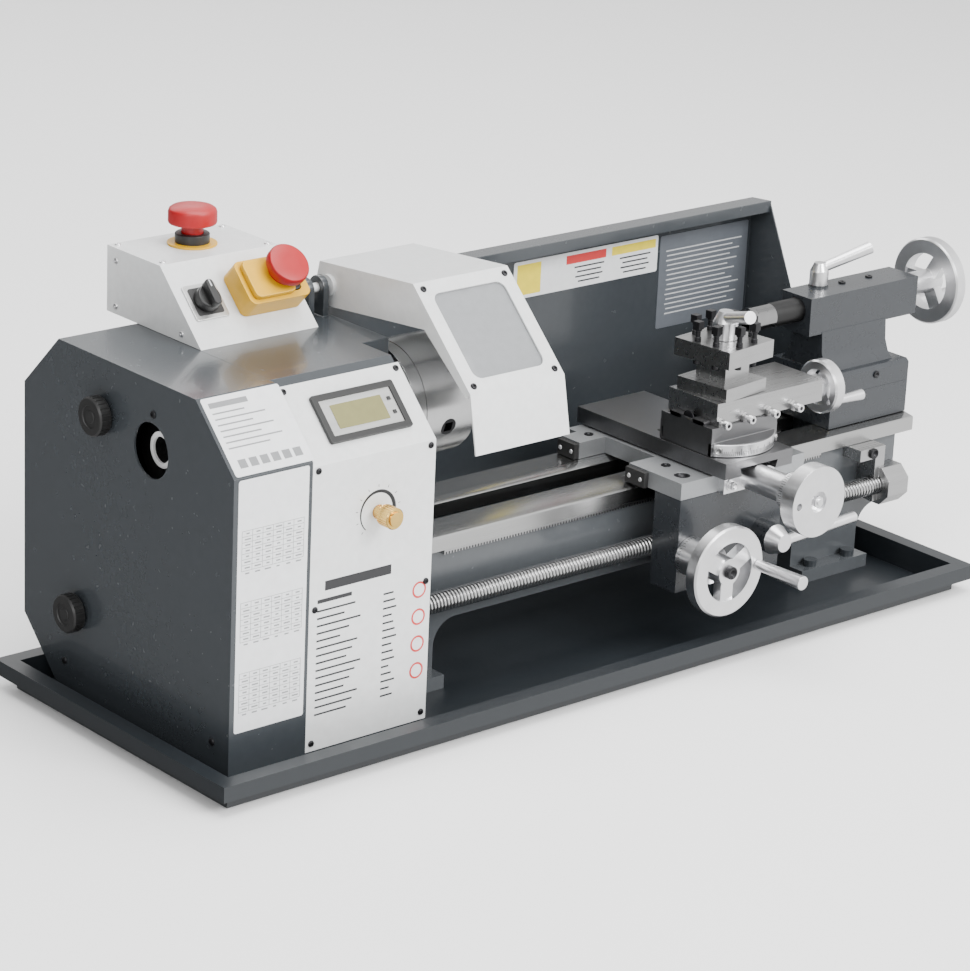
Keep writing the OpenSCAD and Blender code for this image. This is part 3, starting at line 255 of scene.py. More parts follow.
RED_INK = Finish("print_red", "red_plastic", (0.55, 0.03, 0.03), Surface.PLAIN, 0.6, grain=0.0)
YELLOW_INK = Finish("print_yellow", "yellow_plastic", (0.75, 0.60, 0.03), Surface.PLAIN, 0.6, grain=0.0)


class Bench:
    """Modelling moves shared by every sub-assembly."""

    @staticmethod
    def clear() -> None:
        """Leave edit mode's tools with nothing selected."""
        bpy.ops.object.select_all(action="DESELECT")

    @staticmethod
    def hold(piece: Piece) -> None:
        """Select one piece and make it active.

        Args:
            piece: The piece.
        """
        Bench.clear()
        piece.select_set(True)
        bpy.context.view_layer.objects.active = piece

    @staticmethod
    def pick_faces(piece: Piece, wanted: Callable[[bpy.types.MeshPolygon], bool]) -> None:
        """Select the faces that a rule wants, then enter edit mode.

        Args:
            piece: The piece to work on.
            wanted: Rule that says which faces are selected.
        """
        Bench.hold(piece)
        mesh = piece.data
        mesh.vertices.foreach_set("select", [False] * len(mesh.vertices))
        mesh.edges.foreach_set("select", [False] * len(mesh.edges))
        mesh.polygons.foreach_set("select", [bool(wanted(face)) for face in mesh.polygons])
        bpy.ops.object.mode_set(mode="EDIT")
        bpy.ops.mesh.select_mode(type="FACE")

    @staticmethod
    def leave() -> None:
        """Go back to object mode."""
        bpy.ops.object.mode_set(mode="OBJECT")

    @staticmethod
    def block(low: Sequence[float], high: Sequence[float]) -> Piece:
        """Build a box between two corners.

        Args:
            low: Its low corner, in millimetres.
            high: Its high corner, in millimetres.

        Returns:
            The box.
        """
        Bench.clear()
        bpy.ops.mesh.primitive_cube_add(size=1.0)
        piece = bpy.context.active_object
        middle = [(a + b) / 2 * MM for a, b in zip(low, high)]
        sides = [(b - a) * MM for a, b in zip(low, high)]
        piece.data.transform(Matrix.Translation(middle) @ Matrix.Diagonal((*sides, 1.0)))
        return piece

    @staticmethod
    def turned(profile: Sequence[Pair], sides: int = 48) -> Piece:
        """Build a solid turned round +Z, by extruding and scaling a disc.

        Args:
            profile: Radius and height of each ring, in millimetres, from one end to the other.
            sides: Number of sides of the round.

        Returns:
            The solid.
        """
        Bench.clear()
        radius, height = profile[0]
        bpy.ops.mesh.primitive_circle_add(vertices=sides, radius=radius * MM, fill_type="NGON",
                                          location=(0, 0, height * MM))
        piece = bpy.context.active_object
        bpy.ops.object.transform_apply(location=True, rotation=False, scale=False)
        Bench.pick_faces(piece, lambda face: True)
        for wide, high in profile[1:]:
            lift = (0, 0, (high - height) * MM)
            bpy.ops.mesh.extrude_region_move(TRANSFORM_OT_translate={"value": lift})
            ratio = wide / radius
            bpy.ops.transform.resize(value=(ratio, ratio, 1.0), center_override=(0, 0, high * MM))
            radius, height = wide, high
        bpy.ops.mesh.select_all(action="SELECT")
        bpy.ops.mesh.normals_make_consistent(inside=False)
        Bench.leave()
        return piece

    @staticmethod
    def ring(inner: float, outer: float, low: float, high: float, sides: int = 64) -> Piece:
        """Build a plain ring turned round +Z.

        Args:
            inner: Radius of its bore, in millimetres.
            outer: Outside radius.
            low: Height of its lower face.
            high: Height of its upper face.
            sides: Number of sides of the round.

        Returns:
            The ring.
        """
        Bench.clear()
        bpy.ops.mesh.primitive_plane_add(size=1.0)
        piece = bpy.context.active_object
        corners = ((inner, low), (outer, low), (inner, high), (outer, high))
        for vertex, (radius, height) in zip(piece.data.vertices, corners):
            vertex.co = (radius * MM, 0.0, height * MM)
        Bench.pick_faces(piece, lambda face: True)
        bpy.ops.mesh.delete(type="ONLY_FACE")
        Bench.leave()
        made = piece.modifiers.new("turn", "SCREW")
        made.steps = made.render_steps = sides
        made.use_merge_vertices = True
        bpy.ops.object.modifier_apply(modifier=made.name)
        Bench.pick_faces(piece, lambda face: True)
        bpy.ops.mesh.remove_doubles(threshold=MERGE)
        bpy.ops.mesh.normals_make_consistent(inside=False)
        Bench.leave()
        bpy.ops.object.shade_smooth_by_angle(angle=SMOOTH)
        return piece

    @staticmethod
    def socket(piece: Piece, rim: float, depth: float) -> Piece:
        """Sink a recess into the highest flat face of a turned piece.

        Args:
            piece: The turned piece.
            rim: Width left round the recess, in millimetres.
            depth: Depth of the recess, in millimetres.

        Returns:
            The piece.
        """
        top = max(face.center.z for face in piece.data.polygons if face.normal.z > FACING)
        Bench.pick_faces(piece, lambda face: face.normal.z > FACING and face.center.z > top - 1e-6)
        bpy.ops.mesh.inset(thickness=rim * MM)
        bpy.ops.mesh.extrude_region_move(TRANSFORM_OT_translate={"value": (0, 0, -depth * MM)})
        Bench.leave()
        return piece

    @staticmethod
    def flutes(piece: Piece, depth: float) -> Piece:
        """Press every second side face inwards, as a knurl or finger grip.

        Args:
            piece: A turned piece with an even number of sides.
            depth: Depth of each flute, in millimetres.

        Returns:
            The piece.
        """
        walls = [face.center for face in piece.data.polygons if abs(face.normal.z) < SIDE_ON]
        step = 2 * math.pi / max(1, len({round(math.atan2(at.y, at.x), 3) for at in walls}))
        Bench.pick_faces(piece, lambda face: abs(face.normal.z) < SIDE_ON
                         and round(math.atan2(face.center.y, face.center.x) / step - 0.5) % 2 == 0)
        bpy.ops.mesh.inset(thickness=depth * 0.25 * MM, use_individual=False)
        bpy.ops.transform.shrink_fatten(value=-depth * MM)
        Bench.leave()
        return piece

    @staticmethod
    def bevel(piece: Piece, width: float, segments: int = 2) -> Piece:
        """Round the sharp edges of a piece.

        Args:
            piece: The piece.
            width: Width of the bevel, in millimetres.
            segments: Steps of the round.

        Returns:
            The piece.
        """
        Bench.hold(piece)
        made = piece.modifiers.new("round", "BEVEL")
        made.width = width * MM
        made.segments = segments
        made.limit_method = "ANGLE"
        made.angle_limit = SMOOTH
        bpy.ops.object.modifier_apply(modifier=made.name)
        bpy.ops.object.shade_smooth_by_angle(angle=SMOOTH)
        even = piece.modifiers.new("even", "WEIGHTED_NORMAL")
        even.keep_sharp = True
        even.weight = 100
        bpy.ops.object.modifier_apply(modifier=even.name)
        return piece

    @staticmethod
    def disc(radius: float, low: float, high: float, sides: int, soft: float,
             segments: int = 2) -> Piece:
        """Build a straight disc or prism with softened edges.

        Args:
            radius: Its radius, in millimetres.
            low: Height of its lower face.
            high: Height of its upper face.
            sides: Number of its sides.
            soft: Width of the rounding.
            segments: Steps of the rounding.

        Returns:
            The disc.
        """
        return Bench.bevel(Bench.turned([(radius, low), (radius, high)], sides), soft, segments)

    @staticmethod
    def join(first: Piece, second: Piece) -> Piece:
        """Join a second piece into the first.

        Args:
            first: The piece that stays.
            second: The piece that joins it.

        Returns:
            The first piece.
        """
        Bench.clear()
        first.select_set(True)
        second.select_set(True)
        bpy.context.view_layer.objects.active = first
        bpy.ops.object.join()
        return first

    @staticmethod
    def place(piece: Piece, where: Matrix) -> Piece:
        """Carry a piece's mesh to its place, leaving the object at the origin.

        Args:
            piece: The piece.
            where: Its place.

        Returns:
            The piece.
        """
        piece.data.transform(where)
        piece.data.update()
        return piece

    @staticmethod
    def copies(template: Piece, places: Iterable[Matrix]) -> Piece:
        """Copy a template to many places and join the copies into one piece.

        Args:
            template: The piece to repeat, which is used up.
            places: Where each copy goes.

        Returns:
            The joined piece.
        """
        made = []
        for where in places:
            copy = template.copy()
            copy.data = template.data.copy()
            copy.data.transform(where)
            bpy.context.collection.objects.link(copy)
            made.append(copy)
        bpy.data.objects.remove(template)
        Bench.clear()
        for copy in made:
            copy.select_set(True)
        bpy.context.view_layer.objects.active = made[0]
        if len(made) > 1:
            bpy.ops.object.join()
        return bpy.context.view_layer.objects.active

    @staticmethod
    def keep(piece: Piece, name: str, body: str, finish: Finish) -> Piece:
        """Name, dress and attach a finished piece.

        Args:
            piece: The finished piece.
            name: Its name.
            body: The body that it moves with.
            finish: Its finish.

        Returns:
            The piece.
        """
        piece.name = name
        piece.data.name = name
        piece.data.materials.clear()
        piece.data.materials.append(finish.material())
        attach(piece, body)
        LOG.info("%s on %s", name, body)
        return piece


def spun(degrees: float, axis: str) -> Matrix:
    """Return a turn in degrees round an axis."""
    return Matrix.Rotation(math.radians(degrees), 4, axis)


def sized(wide: float, tall: float) -> Matrix:
    """Return the scaling that makes a printed bar this wide and tall, in millimetres."""
    return Matrix.Diagonal((wide, tall, 1.0, 1.0))


def along(axis: str, at: Sequence[float]) -> Matrix:
    """Turn +Z to a signed axis and move it to a point.

    Args:
        axis: The axis with its sign, such as "-Y".
        at: The point, in millimetres.

    Returns:
        The placing.
    """
    turns = {
        "+X": spun(90, "Y"),
        "-X": spun(-90, "Y"),
        "+Y": spun(-90, "X"),
        "-Y": spun(90, "X"),
        "+Z": Matrix.Identity(4),
        "-Z": spun(180, "X"),
    }
    return shift(*at) @ turns[axis]


def slope(x: float, low: Pair, high: Pair) -> Matrix:
    """Place the frame of a sloping face: X along the bed, Y up the slope, Z outwards.

    Args:
        x: Where the frame stands along the bed, in millimetres.
        low: The slope's lower edge in (Y, Z).
        high: The slope's upper edge in (Y, Z).

    Returns:
        The placing.
    """
    turn = math.atan2(high[1] - low[1], high[0] - low[0])
    return shift(x, *low) @ Matrix.Rotation(turn, 4, "X")


def shift(x: float, y: float, z: float = 0.0) -> Matrix:
    """Return a move given in millimetres."""
    return Matrix.Translation((x * MM, y * MM, z * MM))


class Castings:
    """CAD nodes that stay in shape and gain rounded edges and a finish."""

    SOFT = {
        "chip_tray": (TRAY_PAINT, 1.2), "headstock_housing": (PAINT, 1.6), "end_cover": (PAINT, 2.0),
        "control_box": (SHEET, 1.6), "chuck_guard": (SHEET, 0.6), "front_panel": (SHEET, 0.5),
        "splash_guard": (PAINT, 0.6), "apron": (CAST_PAINT, 1.6), "saddle": (SADDLE_IRON, 1.2),
        "tailstock_body": (CAST_PAINT, 2.2), "tailstock_base": (CAST_PAINT, 1.6),
        "leadscrew_brackets": (GROUND, 1.4), "cross_slide": (IRON, 0.7),
        "swivel_base": (IRON, 0.7), "top_slide": (GROUND, 0.7),
        "tool_post": (GROUND, 0.8), "tool_post_lever": (ALLOY, 1.2),
        "quill_lever": (ALLOY, 1.2), "feed_lever": (ALLOY, 1.0), "apron_handle": (ALLOY, 1.2),
        "top_handle": (ALLOY, 1.0), "tail_handle": (ALLOY, 1.2), "apron_handwheel": (ALLOY, 1.0),
        "top_handwheel": (ALLOY, 0.8), "tail_handwheel": (ALLOY, 1.0), "cross_handwheel": (ALLOY, 1.2),
        "cross_screw_boss": (ALLOY, 0.8), "way_wipers": (WIPER, 0.5), "chuck_body": (TURNED, 0.8),
        "chuck_backplate": (TURNED, 0.6), "chuck_jaw_1": (GROUND, 0.5), "chuck_jaw_2": (GROUND, 0.5),
        "chuck_jaw_3": (GROUND, 0.5), "estop_collar": (YELLOW, 0.4),
        "switch_housing": (YELLOW, 1.5), "display_bezel": (PLASTIC, 0.6),
        "headstock_casting": (PAINT, 1.0),
    }
    PLAIN = {
        "feed_rack": GROUND, "bed_fasteners": PAINT, "bearings": TURNED, "gear_quadrant": ROUGH_IRON,
        "motor": MOTOR, "drive_belt": BELT, "spindle": TURNED, "spindle_drive": GEAR_STEEL,
        "chuck_pinion": BLACKENED, "motor_pulley": GEAR_STEEL, "tumbler_gear": GEAR_STEEL,
        # The lead screw's core is dark: painted shade in its thread's grooves.
        "change_gears": GEAR_STEEL, "lead_screw": SCREW_ROOT, "guard_window": CLEAR,
        "direction_knob": PLASTIC, "speed_knob": BRASS, "cover_knob_upper": PLASTIC,
        "cover_knob_lower": PLASTIC, "quill": QUILL_STEEL,
    }

    # Flat cuts through a copy: a point and a direction; what lies beyond the cut in that direction goes.
    CUTS = {"swivel_base": (((131.0, 0, 0), (-1, 0, 0)), ((209.0, 0, 0), (1, 0, 0)))}
    # Boxes taken off a copy, low and high corners in millimetres.
    NOTCHES = {"top_slide": ((130.0, -120.0, 170.0), (301.7, -20.0, 191.7))}

    def __init__(self, frame: dict) -> None:
        """Keep the frame's nodes and which body each belongs to.

        Args:
            frame: The loaded frame.
        """
        self.nodes = frame["nodes"]
        self.body = {node: body for body, members in frame["record"]["behaviour"]["bodies"].items()
                     for node in members}

    def soften(self, node: str, finish: Finish, width: float) -> Piece:
        """Stand a copy with rounded edges in for a CAD node.

        Args:
            node: The CAD node.
            finish: The finish of the copy.
            width: Width of the rounding, in millimetres.

        Returns:
            The copy.
        """
        source = self.nodes[node]
        piece = source.copy()
        piece.data = source.data.copy()
        piece.parent = None
        piece.matrix_world = Matrix.Identity(4)
        bpy.context.collection.objects.link(piece)
        Bench.hold(piece)
        stored = piece.data.attributes.get("custom_normal")
        if stored:
            piece.data.attributes.remove(stored)
        bpy.ops.object.mode_set(mode="EDIT")
        bpy.ops.mesh.select_all(action="SELECT")
        bpy.ops.mesh.remove_doubles(threshold=1e-6)
        bpy.ops.mesh.dissolve_limited(angle_limit=FLAT)
        for point, way in self.CUTS.get(node, ()):
            bpy.ops.mesh.select_all(action="SELECT")
            bpy.ops.mesh.bisect(plane_co=[value * MM for value in point], plane_no=way, use_fill=True,
                                clear_outer=True)
        Bench.leave()
        if node in self.NOTCHES:
            self.notch(piece, *self.NOTCHES[node])
        Bench.bevel(piece, width)
        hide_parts(node)
        return Bench.keep(piece, f"{node}_finished", self.body[node], finish)

    @staticmethod
    def notch(piece: Piece, low: Point, high: Point) -> None:
        """Take a box off a piece.

        Args:
            piece: The piece.
            low: The box's low corner, in millimetres.
            high: The box's high corner, in millimetres.
        """
        cutter = Bench.block(low, high)
        Bench.hold(piece)
        made = piece.modifiers.new("notch", "BOOLEAN")
        made.operation = "DIFFERENCE"
        made.solver = "EXACT"
        made.object = cutter
        bpy.ops.object.modifier_apply(modifier=made.name)
        bpy.data.objects.remove(cutter)

    def dress(self) -> None:
        """Soften and dress every CAD node but the bed, which has its own class."""
        for node, (finish, width) in self.SOFT.items():
            self.soften(node, finish, width)
        for node, finish in self.PLAIN.items():
            mesh = self.nodes[node].data
            mesh.materials.clear()
            mesh.materials.append(finish.material())
            LOG.info("%s dressed", node)


@dataclass
class Bed:
    """The bed casting with its ground ways, and the painted shade behind the rack's teeth.

    Args:
        frame: The loaded frame.
        way_top: Height of the ways, in millimetres; not used.
        way_bottom: Lower edge of the ground strip down the front way, in millimetres.
        housing_end: Right-hand end of the headstock's housing, where the ways start, in millimetres.
        front: Front face of the bed, in millimetres.
        web_face: Front face of the bed's web, in millimetres.
    """

    frame: dict
    way_top: float = 134.5
    way_bottom: float = 119.6
    housing_end: float = -187.0
    front: float = -50.0
    web_face: float = -44.0

    def ground_paint(self) -> bpy.types.Material:
        """Mix paint that gives way to ground steel on the ways.

        Returns:
            The material.
        """
        made = BED_PAINT.material().copy()
        made.name = "paint_with_ground_ways"
        tree = made.node_tree
        paint = tree.nodes["Principled BSDF"]
        steel = add(tree, "BsdfPrincipled", Metallic=1.0, Base_Color=(0.46, 0.46, 0.455, 1.0))
        place = add(tree, "TexCoord")
        spread = add(tree, "Mapping", Scale=(8.0, 420.0, 260.0))
        noise = add(tree, "TexNoise", Scale=1.0)
        shine = add(tree, "MapRange", To_Min=0.16, To_Max=0.32)
        split = add(tree, "SeparateXYZ")
        both = add(tree, "Math")
        both.operation = "MULTIPLY"
        for slot, (axis, limit) in enumerate((("Z", self.way_bottom), ("X", self.housing_end))):
            step = add(tree, "Math")
            step.operation = "GREATER_THAN"
            step.inputs[1].default_value = limit * MM
            wire(tree, split, axis, step, 0, step, 0, both, slot)
        blend = add(tree, "MixShader")
        wire(tree, place, "Object", spread, "Vector", place, "Object", split, "Vector",
             spread, "Vector", noise, "Vector", noise, "Fac", shine, "Value",
             shine, "Result", steel, "Roughness", both, 0, blend, "Fac",
             paint, "BSDF", blend, 1, steel, "BSDF", blend, 2,
             blend, "Shader", tree.nodes["Material Output"], "Surface")
        return made

    def rack_shade(self) -> None:
        """Put a black strip behind the rack's teeth: painted shade, so the gaps between the teeth look dark.
        """
        strip = Bench.block((-117.5, self.front + 1.3, 115.6), (321.5, self.web_face - 0.1, 119.4))
        Bench.keep(Bench.bevel(strip, 0.2, 1), "rack_shade", "stand", BLACKENED)

    def build(self) -> None:
        """Dress the bed and add the painted shade behind the rack's teeth."""
        castings = Castings(self.frame)
        piece = castings.soften("bed", BED_PAINT, 0.8)
        piece.data.materials[0] = self.ground_paint()
        self.rack_shade()


def rows_of_print(widths: Sequence[float], pitch: float, height: float) -> list[Matrix]:
    """Lay out printed bars, one row below another, flush at the left.

    Args:
        widths: Length of each bar, in millimetres.
        pitch: Distance between rows.
        height: Height of a bar.

    Returns:
        The place of each bar.
    """
    return [shift(width / 2, -row * pitch) @ sized(width, height) for row, width in enumerate(widths)]


def bar() -> Piece:
    """Return a printed bar one millimetre square, to be stretched into rows of print."""
    return Bench.bevel(Bench.block((-0.5, -0.5, 0.0), (0.5, 0.5, INK_THICK)), 0.01, 1)


def plate(width: float, height: float, thick: float, corner: float) -> Piece:
    """Build a thin plate with rounded corners, centred on the origin, standing on z = 0.

    Args:
        width: Its length along X, in millimetres.
        height: Its length along Y.
        thick: Its thickness.
        corner: Radius of its corners.

    Returns:
        The plate.
    """
    piece = Bench.block((-width / 2, -height / 2, 0.0), (width / 2, height / 2, thick))
    mesh = piece.data
    mesh.polygons.foreach_set("select", [False] * len(mesh.polygons))
    mesh.vertices.foreach_set("select", [False] * len(mesh.vertices))
    heights = [[mesh.vertices[end].co.z for end in edge.vertices] for edge in mesh.edges]
    mesh.edges.foreach_set("select", [abs(low - high) > thick * MM / 2 for low, high in heights])
    bpy.ops.object.mode_set(mode="EDIT")
    bpy.ops.mesh.select_mode(type="EDGE")
    bpy.ops.mesh.bevel(offset=corner * MM, segments=4, affect="EDGES")
    Bench.leave()
    return piece


def label(width: float, height: float, where: Matrix) -> Piece:
    """Return a stuck-on label with rounded corners, at its place."""
    return Bench.place(Bench.bevel(plate(width, height, LABEL_THICK, 2.0), 0.06, 1), where)


def screw_head(radius: float, height: float) -> Piece:
    """Return a domed screw head with a sunk drive, standing on z = 0."""
    dome = [(radius, 0), (radius, height * 0.35), (radius * 0.86, height * 0.75), (radius * 0.55, height)]
    return Bench.socket(Bench.turned(dome, 20), radius * 0.2, height * 0.5)


@dataclass
class FrontPanel:
    """The white panel on the headstock's front with its display, dial and screws.

    Args:
        left: Left edge of the panel, in millimetres.
        right: Its right edge.
        face: Its upright face.
        foot: Its lower edge.
        knee: Height where it bends back.
        top: Upper edge of its slope in (Y, Z).
        dial: Middle of the speed dial in (X, Z).
        dial_radius: Radius of the dial.
    """

    left: float = -307.0
    right: float = -184.7
    face: float = -111.2
    foot: float = 8.7
    knee: float = 245.7
    top: Pair = (-61.2, 295.8)
    dial: Pair = (-241.5, 197.0)
    dial_radius: float = 19.0

    def upright(self, x: float, z: float, lift: float = 0.0) -> Matrix:
        """Return a place on the upright face: X along the bed, Y upwards, Z outwards."""
        return shift(x, self.face - lift, z) @ spun(90, "X")

    def sloping(self, x: float, run: float, lift: float = 0.0) -> Matrix:
        """Return a place on the sloping face, measured up from the knee."""
        return slope(x, (self.face, self.knee), self.top) @ shift(0, run, lift)

    def screws(self) -> None:
        """Set the panel's screws."""
        inset = 5.5
        length = math.dist((self.face, self.knee), self.top)
        places = [self.upright(x, z, 0.0) for x in (self.left + inset, self.right - inset)
                  for z in (self.foot + 7, 128.0, self.knee - 4)]
        places += [self.sloping(x, length - 5) for x in (self.left + inset, self.right - inset)]
        Bench.keep(Bench.copies(screw_head(2.7, 1.5), places), "panel_screws", "stand", BLACKENED)

    def display(self) -> None:
        """Fit the display: a bright surround and the window with its digits blank."""
        middle, run = -242.0, 35.5
        surround = plate(72, 33, 1.2, 0.6)
        Bench.place(surround, self.sloping(middle, run, 0.9))
        Bench.keep(surround, "display_surround", "stand", SURROUND)
        window = Bench.bevel(plate(50, 21, 1.0, 0.6), 0.25)
        Bench.place(window, self.sloping(middle - 1.5, run, 1.5))
        Bench.keep(window, "display_window", "stand", LCD)
        keys = Bench.copies(Bench.bevel(Bench.block((-1.6, -1.6, 0), (1.6, 1.6, 0.9)), 0.4),
                            [self.sloping(middle + 30, run + y, 2.0) for y in (-6, 6)])
        Bench.keep(keys, "display_keys", "stand", PLASTIC)

    def speed_knob(self) -> None:
        """Replace the plain speed knob with a knurled one."""
        grip = Bench.flutes(Bench.turned([(5.6, 0.3), (6.0, 1), (6.0, 8), (8.6, 8.6), (8.8, 9.4), (8.8, 20.6),
                                          (8.0, 21.4), (6.2, 21.4), (6.0, 23.0), (4.5, 23.4)], 48), 0.35)
        bpy.ops.object.shade_smooth_by_angle(angle=math.radians(30))
        Bench.place(grip, self.upright(*self.dial))
        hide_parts("speed_knob")
        Bench.keep(grip, "speed_knob_knurled", "speed", BRASS)

    def dial_marks(self) -> None:
        """Print the dial's ticks and its widening arc."""
        hub = self.upright(*self.dial, 0.05)
        start, ticks, arc, thin, growth = 225, 11, 54, 0.8, 3.4
        places = [hub @ spun(start - 27 * step, "Z") @ shift(self.dial_radius + 2.4, 0) @ sized(2.2, 0.45)
                  for step in range(ticks)]
        for step in range(arc):
            thick = thin + growth * step / arc
            places.append(hub @ spun(start - 5 * step, "Z")
                          @ shift(self.dial_radius - 1 - thick / 2, 0) @ sized(thick, 1.75))
        Bench.keep(Bench.copies(bar(), places), "dial_marks", "stand", INK)

    def print_rows(self) -> None:
        """Print the generic rows below the dial."""
        lengths = [61, 44, 70, 52, 38, 66, 58, 49, 72, 63, 55, 46, 68, 60, 51]
        pitch, tall = 6.2, 1.5
        base = self.upright(-299, 126)
        marks = [shift(0, 0, INK_THICK) @ m
                 for m in rows_of_print([n * 0.62 for n in lengths], pitch, tall)]
        marks += [shift(66, 0, INK_THICK) @ m
                  for m in rows_of_print([n * 0.2 for n in reversed(lengths)], pitch, tall)]
        marks += [shift(17, 8, INK_THICK) @ sized(34, 3.2), shift(40, 20, INK_THICK) @ sized(66, 8.0)]
        Bench.keep(Bench.copies(bar(), [base @ m for m in marks]), "panel_print", "stand", INK)

    def rings(self) -> None:
        """Print four plain red rings down the right side."""
        ring = Bench.turned([(7.0, 0.0), (7.0, 0.08), (5.6, 0.08)], 40)
        Bench.socket(ring, 0.05, 0.06)
        places = [self.upright(-196.5, z, 0.05) for z in (122.0, 99.0, 76.0, 53.0)]
        Bench.keep(Bench.copies(ring, places), "panel_rings", "stand", RED_INK)
        field = Bench.disc(5.3, 0.0, 0.12, 32, 0.03, 1)
        Bench.keep(Bench.copies(field, places), "panel_ring_fields", "stand", PAPER)

    def build(self) -> None:
        """Build everything on the panel."""
        self.screws()
        self.display()
        self.speed_knob()
        self.dial_marks()
        self.print_rows()
        self.rings()


@dataclass
class GearCover:
    """Knobs, labels and screws of the cover over the gears.

    Args:
        outer: Left-hand face of the cover, in millimetres.
        face: Its front face.
        knee: Height where the front bends back.
        top: Upper edge of its slope in (Y, Z).
        upper: Middle of the upper knob in (Y, Z).
        lower: Middle of the lower knob in (Y, Z).
    """

    outer: float = -382.0
    face: float = -111.2
    knee: float = 250.1
    top: Pair = (-61.2, 300.1)
    upper: Pair = (58.0, 255.0)
    lower: Pair = (92.0, 79.0)

    def knob(self, name: str, node: str, body: str, at: Pair) -> None:
        """Replace a plain knob with a ribbed one.

        Args:
            name: Name of the new piece.
            node: The CAD node that it stands for.
            body: The body that it moves with.
            at: Its centre in (Y, Z), in millimetres.
        """
        shaft = [(4.0, -12), (4.0, 0.3), (11.0, 0.3), (11.0, 3)]
        rim = [(15.2, 3), (16.0, 4.2), (16.0, 12.4), (14.6, 14.0), (9.5, 14.0)]
        cap = [(9.0, 13.0), (5.5, 13.0), (5.0, 13.6), (3.4, 13.6)]
        piece = Bench.turned(shaft + rim + cap, 48)
        Bench.flutes(piece, 0.7)
        Bench.bevel(piece, 0.15, 1)
        Bench.place(piece, along("-X", (self.outer, *at)))
        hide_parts(node)
        Bench.keep(piece, name, body, PLASTIC)

    def labels(self) -> None:
        """Stick on the two plain labels with their rows of print."""
        front = slope(-344.0, (self.face, 42.0), (self.face, 249.0)) @ shift(0, 103.5, LABEL_LIFT)
        sheet = label(67, 206, front)
        Bench.keep(sheet, "cover_front_label", "stand", PAPER)
        sloped = slope(-343.0, (self.face, self.knee), self.top) @ shift(1, 35.5, LABEL_LIFT)
        sheet = label(74, 68, sloped)
        Bench.keep(sheet, "cover_slope_label", "stand", PAPER)
        tables, rows, columns = 3, 8, 6
        down, across, line = 4.6, 9.8, 0.35
        marks = []
        for table in range(tables):
            top = 62 - 58 * table
            for row in range(rows):
                marks.append(front @ shift(0, top - down * row, ON_LABEL) @ sized(59, line))
                for column in range(columns):
                    marks.append(front @ shift(-24 + across * column, top - 2.3 - down * row, ON_LABEL)
                                 @ sized(3.0 + (row * 3 + column * 5) % 4, 1.1))
            for column in range(columns + 1):
                marks.append(front @ shift(-29.5 + 9.83 * column, top - 16.1, ON_LABEL) @ sized(line, 32.5))
        marks.append(sloped @ shift(-14, 27, ON_LABEL) @ sized(36, 4.6))
        for row in range(7):
            width = 30 + (row * 17) % 31
            marks.append(sloped @ shift(-32 + width / 2, 20 - 5 * row, ON_LABEL) @ sized(width, 1.2))
        marks += [sloped @ shift(-26 + 10.4 * n, -24, ON_LABEL) @ sized(7.4, 7.4) for n in range(6)]
        Bench.keep(Bench.copies(bar(), marks), "cover_print", "stand", FAINT_INK)

    def screws(self) -> None:
        """Set the cover's screws."""
        screw = screw_head(3.2, 1.6)
        places = [along("-X", (self.outer, y, z)) for y, z in ((-8.0, 273.0), (-90.0, 30.0), (110.0, 30.0))]
        Bench.keep(Bench.copies(screw, places), "cover_screws", "stand", BLACKENED)

    def build(self) -> None:
        """Build everything on the cover."""
        self.knob("cover_knob_upper_ribbed", "cover_knob_upper", "knob_upper", self.upper)
        self.knob("cover_knob_lower_ribbed", "cover_knob_lower", "knob_lower", self.lower)
        self.labels()
        self.screws()


